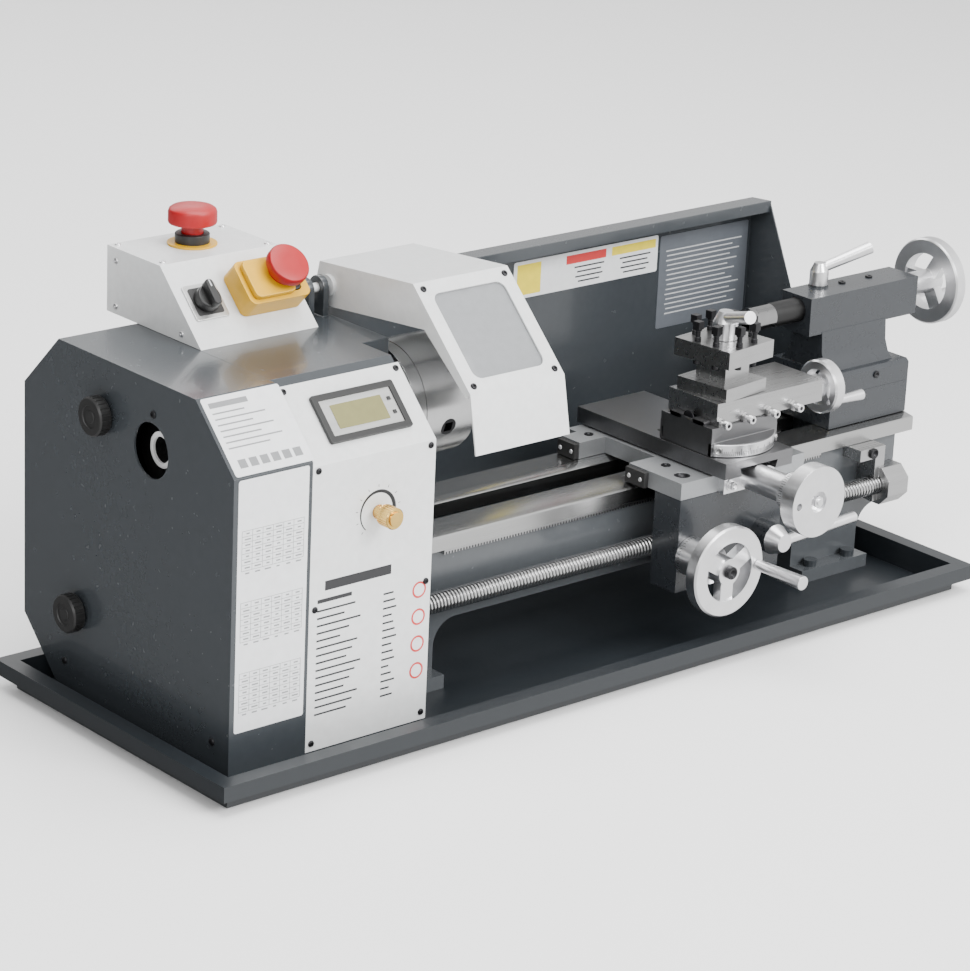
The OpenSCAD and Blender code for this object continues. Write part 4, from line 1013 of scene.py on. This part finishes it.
@dataclass
class ControlBox:
    """Switches and screws of the box on the headstock.

    Args:
        low: Lower edge of its slope in (Y, Z), in millimetres.
        high: Upper edge of its slope.
        turn_at: The direction switch: X and the run up the slope.
        stop: Middle of the emergency stop in (X, Y).
        top: Height of its top.
    """

    low: Pair = (34.0, 300.1)
    high: Pair = (90.6, 355.6)
    turn_at: Pair = (-282.0, 41.0)
    stop: Pair = (-247.0, 128.8)
    top: float = 355.6

    def on(self, x: float, run: float, lift: float = 0.0) -> Matrix:
        """Return a place on the box's slope."""
        return slope(x, self.low, self.high) @ shift(0, run, lift)

    def direction_switch(self) -> None:
        """Fit the direction switch: a square plate and a knob with a finger bar."""
        face = Bench.bevel(plate(32, 32, 1.6, 2.0), 0.4)
        Bench.keep(Bench.place(face, self.on(*self.turn_at, 0.0)), "direction_plate", "stand", SURROUND)
        inner = Bench.bevel(plate(25, 25, 0.4, 2.0), 0.1)
        Bench.keep(Bench.place(inner, self.on(*self.turn_at, 1.6)), "direction_field", "stand", PLASTIC)
        knob = Bench.turned([(10.6, 2.3), (11.0, 3.0), (10.4, 9.0), (9.4, 9.8)], 40)
        grip = Bench.bevel(plate(7, 23, 8.0, 2.8), 1.0)
        grip.data.transform(shift(0, 0, 9.0))
        Bench.join(knob, grip)
        Bench.bevel(knob, 0.4)
        Bench.place(knob, self.on(*self.turn_at))
        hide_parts("direction_knob")
        Bench.keep(knob, "direction_knob_grip", "direction", PLASTIC)
        mark = Bench.place(bar(), self.on(*self.turn_at, 17.0) @ shift(0, 7.5) @ sized(1.2, 6))
        Bench.keep(mark, "direction_pointer", "direction", WHITE_INK)

    def screws(self) -> None:
        """Set the box's screws."""
        places = [along("-X", (-306.5, y, z)) for y, z in ((60.0, 307.0), (150.0, 307.0), (150.0, 345.0))]
        places += [along("+Z", (x, y, self.top)) for x in (-300.0, -196.0) for y in (96.0, 157.0)]
        Bench.keep(Bench.copies(screw_head(2.6, 1.4), places), "box_screws", "stand", ALLOY)

    def stop_button(self) -> None:
        """Replace the emergency stop's head with a stepped and domed one over a black collar."""
        stem = [(9.0, -1), (9.0, 15.2), (13.0, 16.0), (13.5, 17.0), (19.4, 17.6)]
        dome = [(20.0, 19), (20.0, 27), (19.2, 29.4), (17.0, 31.0), (11.0, 32.6), (5.0, 33.3)]
        head = Bench.turned(stem + dome, 64)
        Bench.bevel(head, 0.4)
        Bench.place(head, shift(*self.stop, self.top))
        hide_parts("estop_button")
        Bench.keep(head, "stop_button_head", "estop", RED)
        collar = Bench.socket(Bench.turned([(14.2, 1.6), (14.2, 9.0), (13.4, 9.6)], 48), 4.0, 8.0)
        Bench.bevel(collar, 0.3)
        Bench.place(collar, shift(*self.stop, self.top))
        Bench.keep(collar, "stop_button_collar", "stand", PLASTIC)

    def power_switch(self) -> None:
        """Replace the power switch's plain flap with a yellow flap that carries a round red stop."""
        place = self.on(-226.0, 41.0)
        flap = Bench.bevel(plate(40, 34, 5.0, 5.0), 1.4)
        Bench.place(flap, place @ shift(-6, 0, 20.4))
        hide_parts("switch_paddle")
        Bench.keep(flap, "power_flap", "power", YELLOW)
        stop = Bench.turned([(13.5, 25.2), (13.5, 30.2), (17.2, 30.8), (18.0, 32), (18.0, 37.2), (17.0, 38.8),
                             (13.0, 39.6), (6.0, 40.2)], 56)
        Bench.bevel(stop, 0.4)
        Bench.place(stop, place @ shift(8, 2))
        Bench.keep(stop, "power_stop", "power", RED)
        button = Bench.socket(Bench.disc(5.0, 15.2, 19.4, 32, 0.5), 1.2, 0.6)
        Bench.keep(Bench.place(button, place @ shift(19, -8)), "power_start", "stand", PLASTIC)

    def build(self) -> None:
        """Build everything on the box."""
        self.direction_switch()
        self.screws()
        self.stop_button()
        self.power_switch()


@dataclass
class Guards:
    """Screws of the chuck guard and labels of the splash guard.

    Args:
        left: Left side of the chuck guard, in millimetres.
        wide: Its width.
        peak: Upper edge of its sloping front in (Y, Z).
        knee: Lower edge of its sloping front.
        back: Inner face of the splash guard.
    """

    left: float = -154.0
    wide: float = 99.0
    peak: Pair = (-39.0, 349.0)
    knee: Pair = (-114.0, 277.0)
    back: float = 135.0

    def window_screws(self) -> None:
        """Set the four screws that hold the window."""
        middle = ((self.peak[0] + self.knee[0]) / 2, (self.peak[1] + self.knee[1]) / 2)
        turn = math.atan2(self.peak[1] - self.knee[1], self.peak[0] - self.knee[0])
        centre = (shift(self.left + self.wide / 2, *middle)
                  @ Matrix.Rotation(turn, 4, "X"))
        places = [centre @ shift(x, y, 0.0) for x in (-42.5, 42.5) for y in (-45.5, 45.5)]
        Bench.keep(Bench.copies(screw_head(2.8, 1.6), places), "guard_screws", "guard", BLACKENED)

    def wall(self, x: float, z: float, lift: float = ON_WALL) -> Matrix:
        """Return a place on the splash guard's inner face: X along the bed, Y upwards."""
        return shift(x, self.back - lift, z) @ spun(90, "X")

    def labels(self) -> None:
        """Stick the generic labels on the splash guard's inner face."""
        white = label(174, 34, self.wall(195, 266, LABEL_LIFT))
        Bench.keep(white, "splash_label_white", "stand", PAPER)
        dark = label(112, 88, self.wall(341, 237, LABEL_LIFT))
        Bench.keep(dark, "splash_label_grey", "stand", DARK_PAPER)
        bands = [self.wall(252, 276) @ sized(54, 8), self.wall(126, 266) @ sized(28, 28)]
        Bench.keep(Bench.copies(bar(), bands), "splash_label_bands", "stand", YELLOW_INK)
        red = [self.wall(194, 276) @ sized(48, 8)]
        Bench.keep(Bench.copies(bar(), red), "splash_label_red", "stand", RED_INK)
        rows = [self.wall(x, 268 - 4.5 * n) @ sized(w - (n * 7) % 11, 1.4)
                for x, w in ((198, 36), (254, 38)) for n in range(4)]
        Bench.keep(Bench.copies(bar(), rows), "splash_label_print", "stand", INK)
        lines = [self.wall(341 - (n * 5) % 9, 266 - 4.6 * n) @ sized(96 - (n * 13) % 23, 1.2)
                 for n in range(14)]
        Bench.keep(Bench.copies(bar(), lines), "splash_label_lines", "stand", WHITE_INK)

    def build(self) -> None:
        """Build everything on the guards."""
        self.window_screws()
        self.labels()


@dataclass
class Chuck:
    """Nuts and studs on the chuck's backplate and the ring on the spindle's rear end.

    Args:
        axis: Height of the spindle, in millimetres.
        back: Rear face of the backplate.
        spindle_end: Left-hand end of the spindle.
    """

    axis: float = 239.5
    back: float = -155.0
    spindle_end: float = -366.0

    def around(self, turn: float, reach: float) -> Matrix:
        """Return a place on the backplate's rear face: Z back towards the headstock."""
        return shift(self.back, 0, self.axis) @ spun(turn, "X") @ shift(0, 0, reach) @ spun(-90, "Y")

    def build(self) -> None:
        """Set the backplate's nuts and studs and the spindle's ring."""
        nut = Bench.disc(5.2, 0, 5.0, 6, 0.4)
        places = [self.around(120 * n + 20, 41.0) for n in range(3)]
        Bench.keep(Bench.copies(nut, places), "chuck_nuts", "spindle_body", BLACKENED)
        stud = Bench.bevel(Bench.turned([(2.9, 4.0), (2.9, 9.0), (2.4, 9.5)], 24), 0.2)
        Bench.keep(Bench.copies(stud, places), "chuck_studs", "spindle_body", TURNED)
        # The end ring is painted light: pale steel that stays bright on the dim left side.
        face = Bench.place(Bench.ring(10.6, 14.6, 0.0, 2.4), along("-X", (self.spindle_end, 0.0, self.axis)))
        Bench.keep(face, "spindle_end_ring", "spindle_body", LIT_SPINDLE_END)


@dataclass
class LeadScrew:
    """Thread on the lead screw and bolts of its bracket.

    Args:
        left: Where the thread starts, in millimetres.
        right: Where it ends.
        pitch: Distance from turn to turn.
        core: Radius at the foot of the ridge.
        crest: Radius at the top of the ridge.
        centre: Middle of the screw in (Y, Z).
    """

    left: float = -286.0
    right: float = 386.0
    pitch: float = 3.6
    core: float = 7.9
    crest: float = 8.75
    centre: Pair = (-61.5, 81.2)

    def thread(self) -> None:
        """Wind the thread's ridge round the screw."""
        Bench.clear()
        bpy.ops.mesh.primitive_plane_add(size=1.0)
        piece = bpy.context.active_object
        half = self.pitch * 0.27
        foot, peak = half * 1.5, half * 0.7
        corners = ((self.core, -foot), (self.crest, -peak), (self.core, foot), (self.crest, peak))
        for vertex, (radius, height) in zip(piece.data.vertices, corners):
            vertex.co = (radius * MM, 0.0, height * MM)
        made = piece.modifiers.new("wind", "SCREW")
        made.axis = "Z"
        made.angle = 2 * math.pi
        made.screw_offset = self.pitch * MM
        made.iterations = int((self.right - self.left) / self.pitch)
        made.steps = made.render_steps = 16
        made.use_merge_vertices = True
        Bench.hold(piece)
        bpy.ops.object.modifier_apply(modifier=made.name)
        Bench.pick_faces(piece, lambda face: True)
        bpy.ops.mesh.remove_doubles(threshold=MERGE)
        bpy.ops.mesh.normals_make_consistent(inside=False)
        Bench.leave()
        Bench.place(piece, along("+X", (self.left, *self.centre)))
        bpy.ops.object.shade_smooth_by_angle(angle=math.radians(25))
        Bench.keep(piece, "lead_screw_thread", "screw", TURNED)

    def bracket_bolts(self) -> None:
        """Set the bolts of the right-hand bracket."""
        head = Bench.socket(Bench.disc(4.9, 0, 2.5, 28, 0.5), 1.8, 1.6)
        places = [along("-Y", (372.0, -66.0, 114.0))]
        places += [along("+X", (408.0, self.centre[0] + 11 * math.cos(a), self.centre[1] + 11 * math.sin(a)))
                   for a in (math.pi / 4, 5 * math.pi / 4)]
        Bench.keep(Bench.copies(head, places), "bracket_bolts", "stand", BLACKENED)

    def build(self) -> None:
        """Build the thread and the bolts."""
        self.thread()
        self.bracket_bolts()


def tick_ring(count: int, radius: float, short: float, tall: float) -> Piece:
    """Build graduation marks round a collar on the Z axis, every fifth one taller.

    Args:
        count: Number of marks.
        radius: Radius of the collar, in millimetres.
        short: Height of a short mark.
        tall: Height of a tall mark.

    Returns:
        The marks as one piece.
    """
    places = []
    for step in range(count):
        height = tall if step % 5 == 0 else short
        places.append(Matrix.Rotation(2 * math.pi * step / count, 4, "Z") @ shift(radius, 0, height / 2)
                      @ spun(90, "Y") @ sized(height, TICK))
    return Bench.copies(bar(), places)


def nut(radius: float, height: float, stud: float) -> Piece:
    """Build a hexagon nut with the end of its stud, standing on z = 0.

    Args:
        radius: Distance from its middle to a corner, in millimetres.
        height: Its height.
        stud: Radius of the stud.

    Returns:
        The nut.
    """
    body = Bench.disc(radius, 0, height, 6, radius * 0.08)
    end = Bench.disc(stud, 0, height * 1.35, 20, stud * 0.12)
    return Bench.join(body, end)


@dataclass
class Carriage:
    """Bolts, caps and graduations of the saddle and apron.

    Args:
        left: Left end of the saddle, in millimetres.
        top: Height of its top.
        front: Its front face.
        screw_height: Height of the screws in its ends and front.
        wheel: Middle of the feed wheel in (X, Z).
        wheel_face: Front of the wheel's hub.
    """

    left: float = 96.5
    top: float = 150.0
    front: float = -102.5
    screw_height: float = 141.5
    wheel: Pair = (111.0, 83.0)
    wheel_face: float = -151.5

    def saddle_bolts(self) -> None:
        """Set the cap screws in the saddle's wings and on its front."""
        head = Bench.socket(Bench.disc(4.2, 0, 0.9, 28, 0.35), 1.7, 0.8)
        places = [along("+Z", (x, y, self.top)) for x, y in ((118.0, -60.0), (222.0, -60.0), (222.0, -90.0),
                                                            (118.0, 38.0), (222.0, 38.0))]
        Bench.keep(Bench.copies(head, places), "saddle_bolts", "carriage", BLACKENED)
        plug = Bench.socket(Bench.disc(6.9, -5.5, -0.3, 36, 0.4), 1.6, 2.5)
        Bench.place(plug, along("+Z", (self.left + 16, -86.0, self.top)))
        Bench.keep(plug, "oil_cup", "carriage", BLACKENED)
        washer = Bench.disc(5.6, 0, 1.2, 36, 0.3)
        at = along("-Y", (148.0, self.front - 7.0, self.screw_height))
        Bench.keep(Bench.place(washer, at), "boss_washer", "carriage", ALLOY)
        cap = Bench.socket(Bench.disc(4.0, 1.2, 5.4, 28, 0.5), 1.6, 2.6)
        Bench.keep(Bench.place(cap, at), "boss_screw", "carriage", ALLOY)

    def wiper_screws(self) -> None:
        """Set the screws of the way wipers."""
        ends = (("-X", self.left - 5), ("+X", self.left + 152))
        places = [along(way, (x, y, self.screw_height)) for way, x in ends
                  for y in (-57.0, -43.0, 31.0, 45.0)]
        Bench.keep(Bench.copies(screw_head(2.0, 1.1), places), "wiper_screws", "carriage", ALLOY)

    def wheel_details(self) -> None:
        """Add the hub bolt and the collar's graduations to the feed wheel."""
        bolt = Bench.socket(Bench.disc(5.6, 0, 4.0, 28, 0.6), 2.2, 2.6)
        Bench.place(bolt, along("-Y", (self.wheel[0], self.wheel_face, self.wheel[1])))
        Bench.keep(bolt, "feed_wheel_bolt", "feed_wheel", BLACKENED)
        ring = tick_ring(40, 17.0, 3.0, 5.0)
        Bench.place(ring, along("-Y", (self.wheel[0], -104.5, self.wheel[1])))
        Bench.keep(ring, "feed_wheel_ticks", "feed_wheel", INK)

    def build(self) -> None:
        """Build everything on the carriage."""
        self.saddle_bolts()
        self.wiper_screws()
        self.wheel_details()


@dataclass
class Slides:
    """Graduations, gib screws and nuts of the cross slide, compound and tool post.

    Args:
        middle: Middle of the cross slide along the bed, in millimetres.
        across: The swivel's axis across the bed.
        cross_top: Top of the cross slide.
        top_low: The top slide's lower face.
        screw_height: Height of the cross screw.
        top_screw: Height of the top slide's screw.
        swivel: Radius of the swivel base.
        wheel_x: Middle of the top slide's wheel.
        post_top: Top of the tool post.
        post_turn: How far the post is turned, in degrees.
    """

    middle: float = 170.0
    across: float = -68.5
    cross_top: float = 166.0
    top_low: float = 193.0
    screw_height: float = 146.0
    top_screw: float = 192.5
    swivel: float = 48.0
    wheel_x: float = 288.0
    post_top: float = 257.2
    post_turn: float = 7.0

    def cross_wheel(self) -> None:
        """Add the nut and graduations of the cross slide's wheel."""
        lock = nut(5.6, 4.5, 3.0)
        Bench.place(lock, along("-Y", (self.middle, -188.0, self.screw_height)))
        Bench.keep(lock, "cross_wheel_nut", "cross_wheel", ALLOY)
        ring = tick_ring(50, 17.0, 3.5, 6.0)
        Bench.place(ring, along("-Y", (self.middle, -160.5, self.screw_height)))
        Bench.keep(ring, "cross_wheel_ticks", "cross_wheel", INK)

    def gib_screws(self) -> None:
        """Set the gib screws and their lock nuts along the slides."""
        front = self.across - 59.5 / 2 + 1.5
        places = [along("-Y", (x, front, 194.0)) for x in (143.0, 172.0, 201.0, 230.0)]
        lock = Bench.disc(4.9, 0, 3.0, 6, 0.5)
        Bench.keep(Bench.copies(lock, places), "top_gib_nuts", "top", GEAR_STEEL)
        screw = Bench.turned([(2.1, 2.8), (2.1, 6.0), (3.4, 6.1), (3.7, 6.6), (3.7, 10.4), (3.3, 10.9)], 28)
        Bench.keep(Bench.copies(Bench.socket(screw, 1.5, 2.8), places), "top_gib_screws", "top", ALLOY)
        # A black hexagon at the floor of each screw's socket: painted shade in the socket.
        socket_shade = Bench.disc(1.9, 8.2, 8.6, 6, 0.1, 1)
        Bench.keep(Bench.copies(socket_shade, places), "top_gib_socket_shade", "top", BLACKENED)

    def swivel_block(self) -> None:
        """Bring the swivel base's block out flush under the top slide; black discs stand for its end hole and
        the slide's holes, as painted shade.
        """
        reach, half = 39.02, 31.52
        low, high = self.cross_top + 11.0, self.top_low - 1.6
        block = Bench.block((self.middle - reach, self.across - half, low),
                            (self.middle + reach, self.across + half, high))
        Bench.keep(Bench.bevel(block, 0.7), "swivel_block", "swivel", IRON)
        # Black disc for the end hole: painted shade inside the bore.
        plug = Bench.disc(6.6, 0, 1.2, 40, 0.3)
        Bench.place(plug, along("-X", (self.middle - 36.0, self.across, self.top_low - 0.5)))
        Bench.keep(plug, "swivel_bore_shade", "swivel", BLACKENED)
        # Black discs for the slide's holes: painted shade inside them.
        hole = Bench.disc(2.6, 0.02, 0.25, 28, 0.1, 1)
        places = [along("+Z", (x, y, self.cross_top)) for x, y in ((146.0, -22.0), (160.0, -30.0))]
        Bench.keep(Bench.copies(hole, places), "cross_slide_hole_shade", "cross", BLACKENED)
        cup = Bench.turned([(2.2, 0.02), (2.2, 0.6), (1.5, 1.3), (0.8, 1.5)], 24)
        Bench.place(cup, along("+Z", (138.0, -40.0, self.cross_top)))
        Bench.keep(cup, "cross_slide_oiler", "cross", ALLOY)

    def degree_ring(self) -> None:
        """Clip the degree scale round the front of the swivel base."""
        band = Bench.turned([(self.swivel + 0.5, 0.5), (self.swivel + 0.5, 11.2)], 96)
        Bench.bevel(band, 0.3, 1)
        for side, keep_low in ((-36.0, True), (36.0, False)):
            Bench.pick_faces(band, lambda face: True)
            bpy.ops.mesh.bisect(plane_co=(side * MM, 0, 0), plane_no=(1, 0, 0), use_fill=True,
                                clear_inner=keep_low, clear_outer=not keep_low)
            Bench.leave()
        Bench.pick_faces(band, lambda face: True)
        bpy.ops.mesh.bisect(plane_co=(0, -30 * MM, 0), plane_no=(0, 1, 0), use_fill=True, clear_outer=True)
        Bench.leave()
        Bench.place(band, shift(self.middle, self.across, self.cross_top))
        Bench.keep(band, "degree_scale", "swivel", ALLOY)
        cap = Bench.socket(Bench.disc(3.3, 0, 2.0, 28, 0.4), 1.3, 1.2)
        ends = [shift(self.middle, self.across, self.cross_top + 6.0) @ spun(turn, "Z")
                @ shift(self.swivel + 0.5, 0) @ spun(90, "Y") for turn in (-134.0, -46.0)]
        Bench.keep(Bench.copies(cap, ends), "degree_scale_screws", "swivel", GEAR_STEEL)
        places = []
        for step in range(-22, 23):
            tall = 6.0 if step % 5 == 0 else 3.6
            places.append(shift(self.middle, self.across, self.cross_top + 2) @ spun(-90 + step * 2, "Z")
                          @ shift(self.swivel + 0.5, 0, tall / 2) @ spun(90, "Y") @ sized(tall, 0.4))
        Bench.keep(Bench.copies(bar(), places), "degree_ticks", "swivel", INK)

    def tool_bolts(self) -> None:
        """Replace the tool post's bolts with waisted square-headed ones, two along each side."""
        shank = Bench.turned([(2.9, -20.0), (2.9, 3.2), (2.3, 3.8), (2.3, 8.8), (3.3, 9.4), (3.3, 10.6)], 24)
        head = Bench.bevel(Bench.block((-3.5, -3.5, 10.4), (3.5, 3.5, 17.6)), 0.6)
        Bench.join(shank, head)
        out, along_side = 24.0, 24.0 * 0.42
        centre = shift(self.middle, self.across, self.post_top) @ spun(self.post_turn, "Z")
        places = [centre @ spun(90 * side, "Z") @ shift(out, spot * along_side)
                  for side in range(4) for spot in (-1, 1)]
        bolts = Bench.copies(shank, places)
        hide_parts("tool_post_bolts")
        Bench.keep(bolts, "tool_bolts", "post", BLACKENED)

    def top_wheel(self) -> None:
        """Add the graduations of the top slide's wheel."""
        ring = Bench.place(tick_ring(40, 12.0, 3.0, 5.0), along("+X", (268.0, self.across, self.top_screw)))
        Bench.keep(ring, "top_wheel_ticks", "top_wheel", INK)
        lock = Bench.place(nut(5.0, 4.0, 2.6), along("+X", (self.wheel_x + 13.0, self.across, self.top_screw)))
        Bench.keep(lock, "top_wheel_nut", "top_wheel", ALLOY)

    def build(self) -> None:
        """Build everything on the slides."""
        self.cross_wheel()
        self.gib_screws()
        self.swivel_block()
        self.degree_ring()
        self.tool_bolts()
        self.top_wheel()


@dataclass
class Tailstock:
    """Graduations, bolts and nuts of the tailstock.

    Args:
        axis: Height of the quill, in millimetres.
        barrel_top: Top of the barrel.
        end: Right-hand end of the body.
        collar: Left-hand end of the graduated collar.
        wheel_hub: Right-hand face of the wheel's hub.
        quill: Radius of the quill.
    """

    axis: float = 239.5
    barrel_top: float = 253.3
    end: float = 467.0
    collar: float = 470.0
    wheel_hub: float = 509.0
    quill: float = 11.0

    def quill_marks(self) -> None:
        """Print the quill's scale: a row of marks along its upper front."""
        lean, pitch = math.radians(35), 2.2
        side, top = -self.quill * math.sin(lean), self.axis + self.quill * math.cos(lean)
        places = []
        for step in range(24):
            tall = 5.0 if step % 5 == 0 else 3.0
            places.append(along("+Z", (272.0 + pitch * step, side, top)) @ Matrix.Rotation(lean, 4, "X")
                          @ sized(0.4, tall))
        Bench.keep(Bench.copies(bar(), places), "quill_scale", "quill_body", INK)

    def quill_band(self) -> None:
        """Darken the graduated stretch of the quill beside the barrel."""
        band = Bench.turned([(self.quill + 0.03, 293.0), (self.quill + 0.03, 345.0)], 64)
        bpy.ops.object.shade_smooth_by_angle(angle=SMOOTH)
        Bench.place(band, along("+X", (0.0, 0.0, self.axis)))
        Bench.keep(band, "quill_dark_band", "quill_body", SCREW_ROOT)

    def bolts(self) -> None:
        """Set the tailstock's screws and the wheel's nut."""
        head = Bench.socket(Bench.disc(3.4, 0, 1.4, 24, 0.4), 1.3, 1.0)
        places = [along("+Z", (x, 5.0, self.barrel_top)) for x in (390.0, 425.0)]
        places += [along("-Y", (397.0, -39.0, 177.0)), along("+X", (440.0, 0.0, 172.0))]
        Bench.keep(Bench.copies(head, places), "tailstock_screws", "tailstock", BLACKENED)
        face = Bench.bevel(Bench.block((0, -18.0, -21.0), (6.6, 18.0, 13.6)), 0.6)
        Bench.place(face, shift(self.end - 6.3, 0.8, self.axis))
        lock = Bench.place(nut(5.6, 5.0, 3.4), along("+X", (self.wheel_hub, 0.0, self.axis)))
        Bench.keep(lock, "tail_wheel_nut", "tail_wheel", ALLOY)
        Bench.keep(face, "tailstock_end_plate", "tailstock", ALLOY)
        ring = Bench.place(tick_ring(40, 11.0, 3.0, 5.0), along("+X", (self.collar, 0.0, self.axis)))
        Bench.keep(ring, "tail_wheel_ticks", "tail_wheel", INK)

    def build(self) -> None:
        """Build everything on the tailstock."""
        self.quill_marks()
        self.quill_band()
        self.bolts()


@dataclass
class Studio:
    """Floor, lights and camera.

    Args:
        eye: Place of the camera, in millimetres.
        right: Camera's right-hand direction.
        up: Camera's upward direction.
        lens: Focal length for a 36 mm sensor.
        shift_x: Sideways shift of the lens.
        shift_y: Upward shift of the lens.
        dim: Brightness of the room at the left behind the machine.
        bright: Brightness of the room at the right in front of it.
    """

    eye: Point = (-1906.5, -2117.1, 1144.8)
    right: Point = (0.75734, -0.65156, 0.04363)
    up: Point = (0.18699, 0.28039, 0.9415)
    lens: float = 132.47
    shift_x: float = -0.00577
    shift_y: float = 0.00202
    dim: float = 0.2
    bright: float = 1.75

    def floor(self) -> None:
        """Lay the pale floor."""
        Bench.clear()
        bpy.ops.mesh.primitive_plane_add(size=12.0, location=(0, 0, -0.0006))
        floor = bpy.context.active_object
        bpy.ops.object.transform_apply(location=True, rotation=False, scale=False)
        floor.name = "floor"
        made = bpy.data.materials.new("pale_floor")
        made.use_nodes = True
        shader = made.node_tree.nodes["Principled BSDF"]
        shader.inputs["Base Color"].default_value = (0.93, 0.93, 0.93, 1.0)
        shader.inputs["Roughness"].default_value = 0.7
        floor.data.materials.append(made)
        floor.visible_glossy = False

    def lamp(self, name: str, at: Point, size: Pair, power: float) -> None:
        """Hang a soft light that faces the machine.

        Args:
            name: Name of the light.
            at: Its place in metres.
            size: Its width and height in metres.
            power: Its power in watts.
        """
        data = bpy.data.lights.new(name, "AREA")
        data.shape = "RECTANGLE"
        data.size, data.size_y = size
        data.energy = power
        light = bpy.data.objects.new(name, data)
        light.location = at
        light.rotation_euler = (Vector((0, 0, 0.12)) - Vector(at)).to_track_quat("-Z", "Y").to_euler()
        bpy.context.collection.objects.link(light)

    def surroundings(self) -> None:
        """Light the room softly, brighter in front of the machine than at the left behind it."""
        world = bpy.data.worlds.new("studio")
        bpy.context.scene.world = world
        world.use_nodes = True
        tree = world.node_tree
        room = tree.nodes["Background"]
        room.inputs["Color"].default_value = (1.0, 1.0, 1.0, 1.0)
        place = add(tree, "TexCoord")
        side = add(tree, "VectorMath")
        side.operation = "DOT_PRODUCT"
        side.inputs[1].default_value = (0.67, -0.74, 0.0)
        level = add(tree, "MapRange", From_Min=-1.0, To_Min=self.dim, To_Max=self.bright)
        wire(tree, place, "Generated", side, 0, side, "Value", level, "Value",
             level, "Result", room, "Strength")

    def camera(self) -> None:
        """Set up the camera."""
        data = bpy.data.cameras.new("camera")
        data.sensor_width = 36.0
        data.lens = self.lens
        data.shift_x, data.shift_y = self.shift_x, self.shift_y
        data.clip_end = 50.0
        eye = bpy.data.objects.new("camera", data)
        right, up = Vector(self.right).normalized(), Vector(self.up).normalized()
        turn = Matrix((right, up, right.cross(up))).transposed().to_4x4()
        eye.matrix_world = Matrix.Translation(Vector(self.eye) * MM) @ turn
        bpy.context.collection.objects.link(eye)
        bpy.context.scene.camera = eye

    def build(self) -> None:
        """Set the whole studio."""
        self.floor()
        self.lamp("key", (0.9, -2.9, 2.3), (2.0, 1.5), 165.0)
        self.lamp("top", (0.1, -0.1, 2.6), (2.4, 1.8), 85.0)
        self.lamp("fill", (-2.4, -1.6, 1.6), (1.6, 1.4), 34.0)
        self.lamp("back", (0.6, 2.4, 2.0), (2.4, 1.2), 28.0)
        self.surroundings()
        self.camera()


def main() -> None:
    """Build the scene."""
    logging.basicConfig(level=logging.INFO)
    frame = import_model()
    Castings(frame).dress()
    Bed(frame).build()
    FrontPanel().build()
    GearCover().build()
    ControlBox().build()
    Guards().build()
    Chuck().build()
    LeadScrew().build()
    Carriage().build()
    Slides().build()
    Tailstock().build()
    Studio().build()


if __name__ == "__main__":
    main()
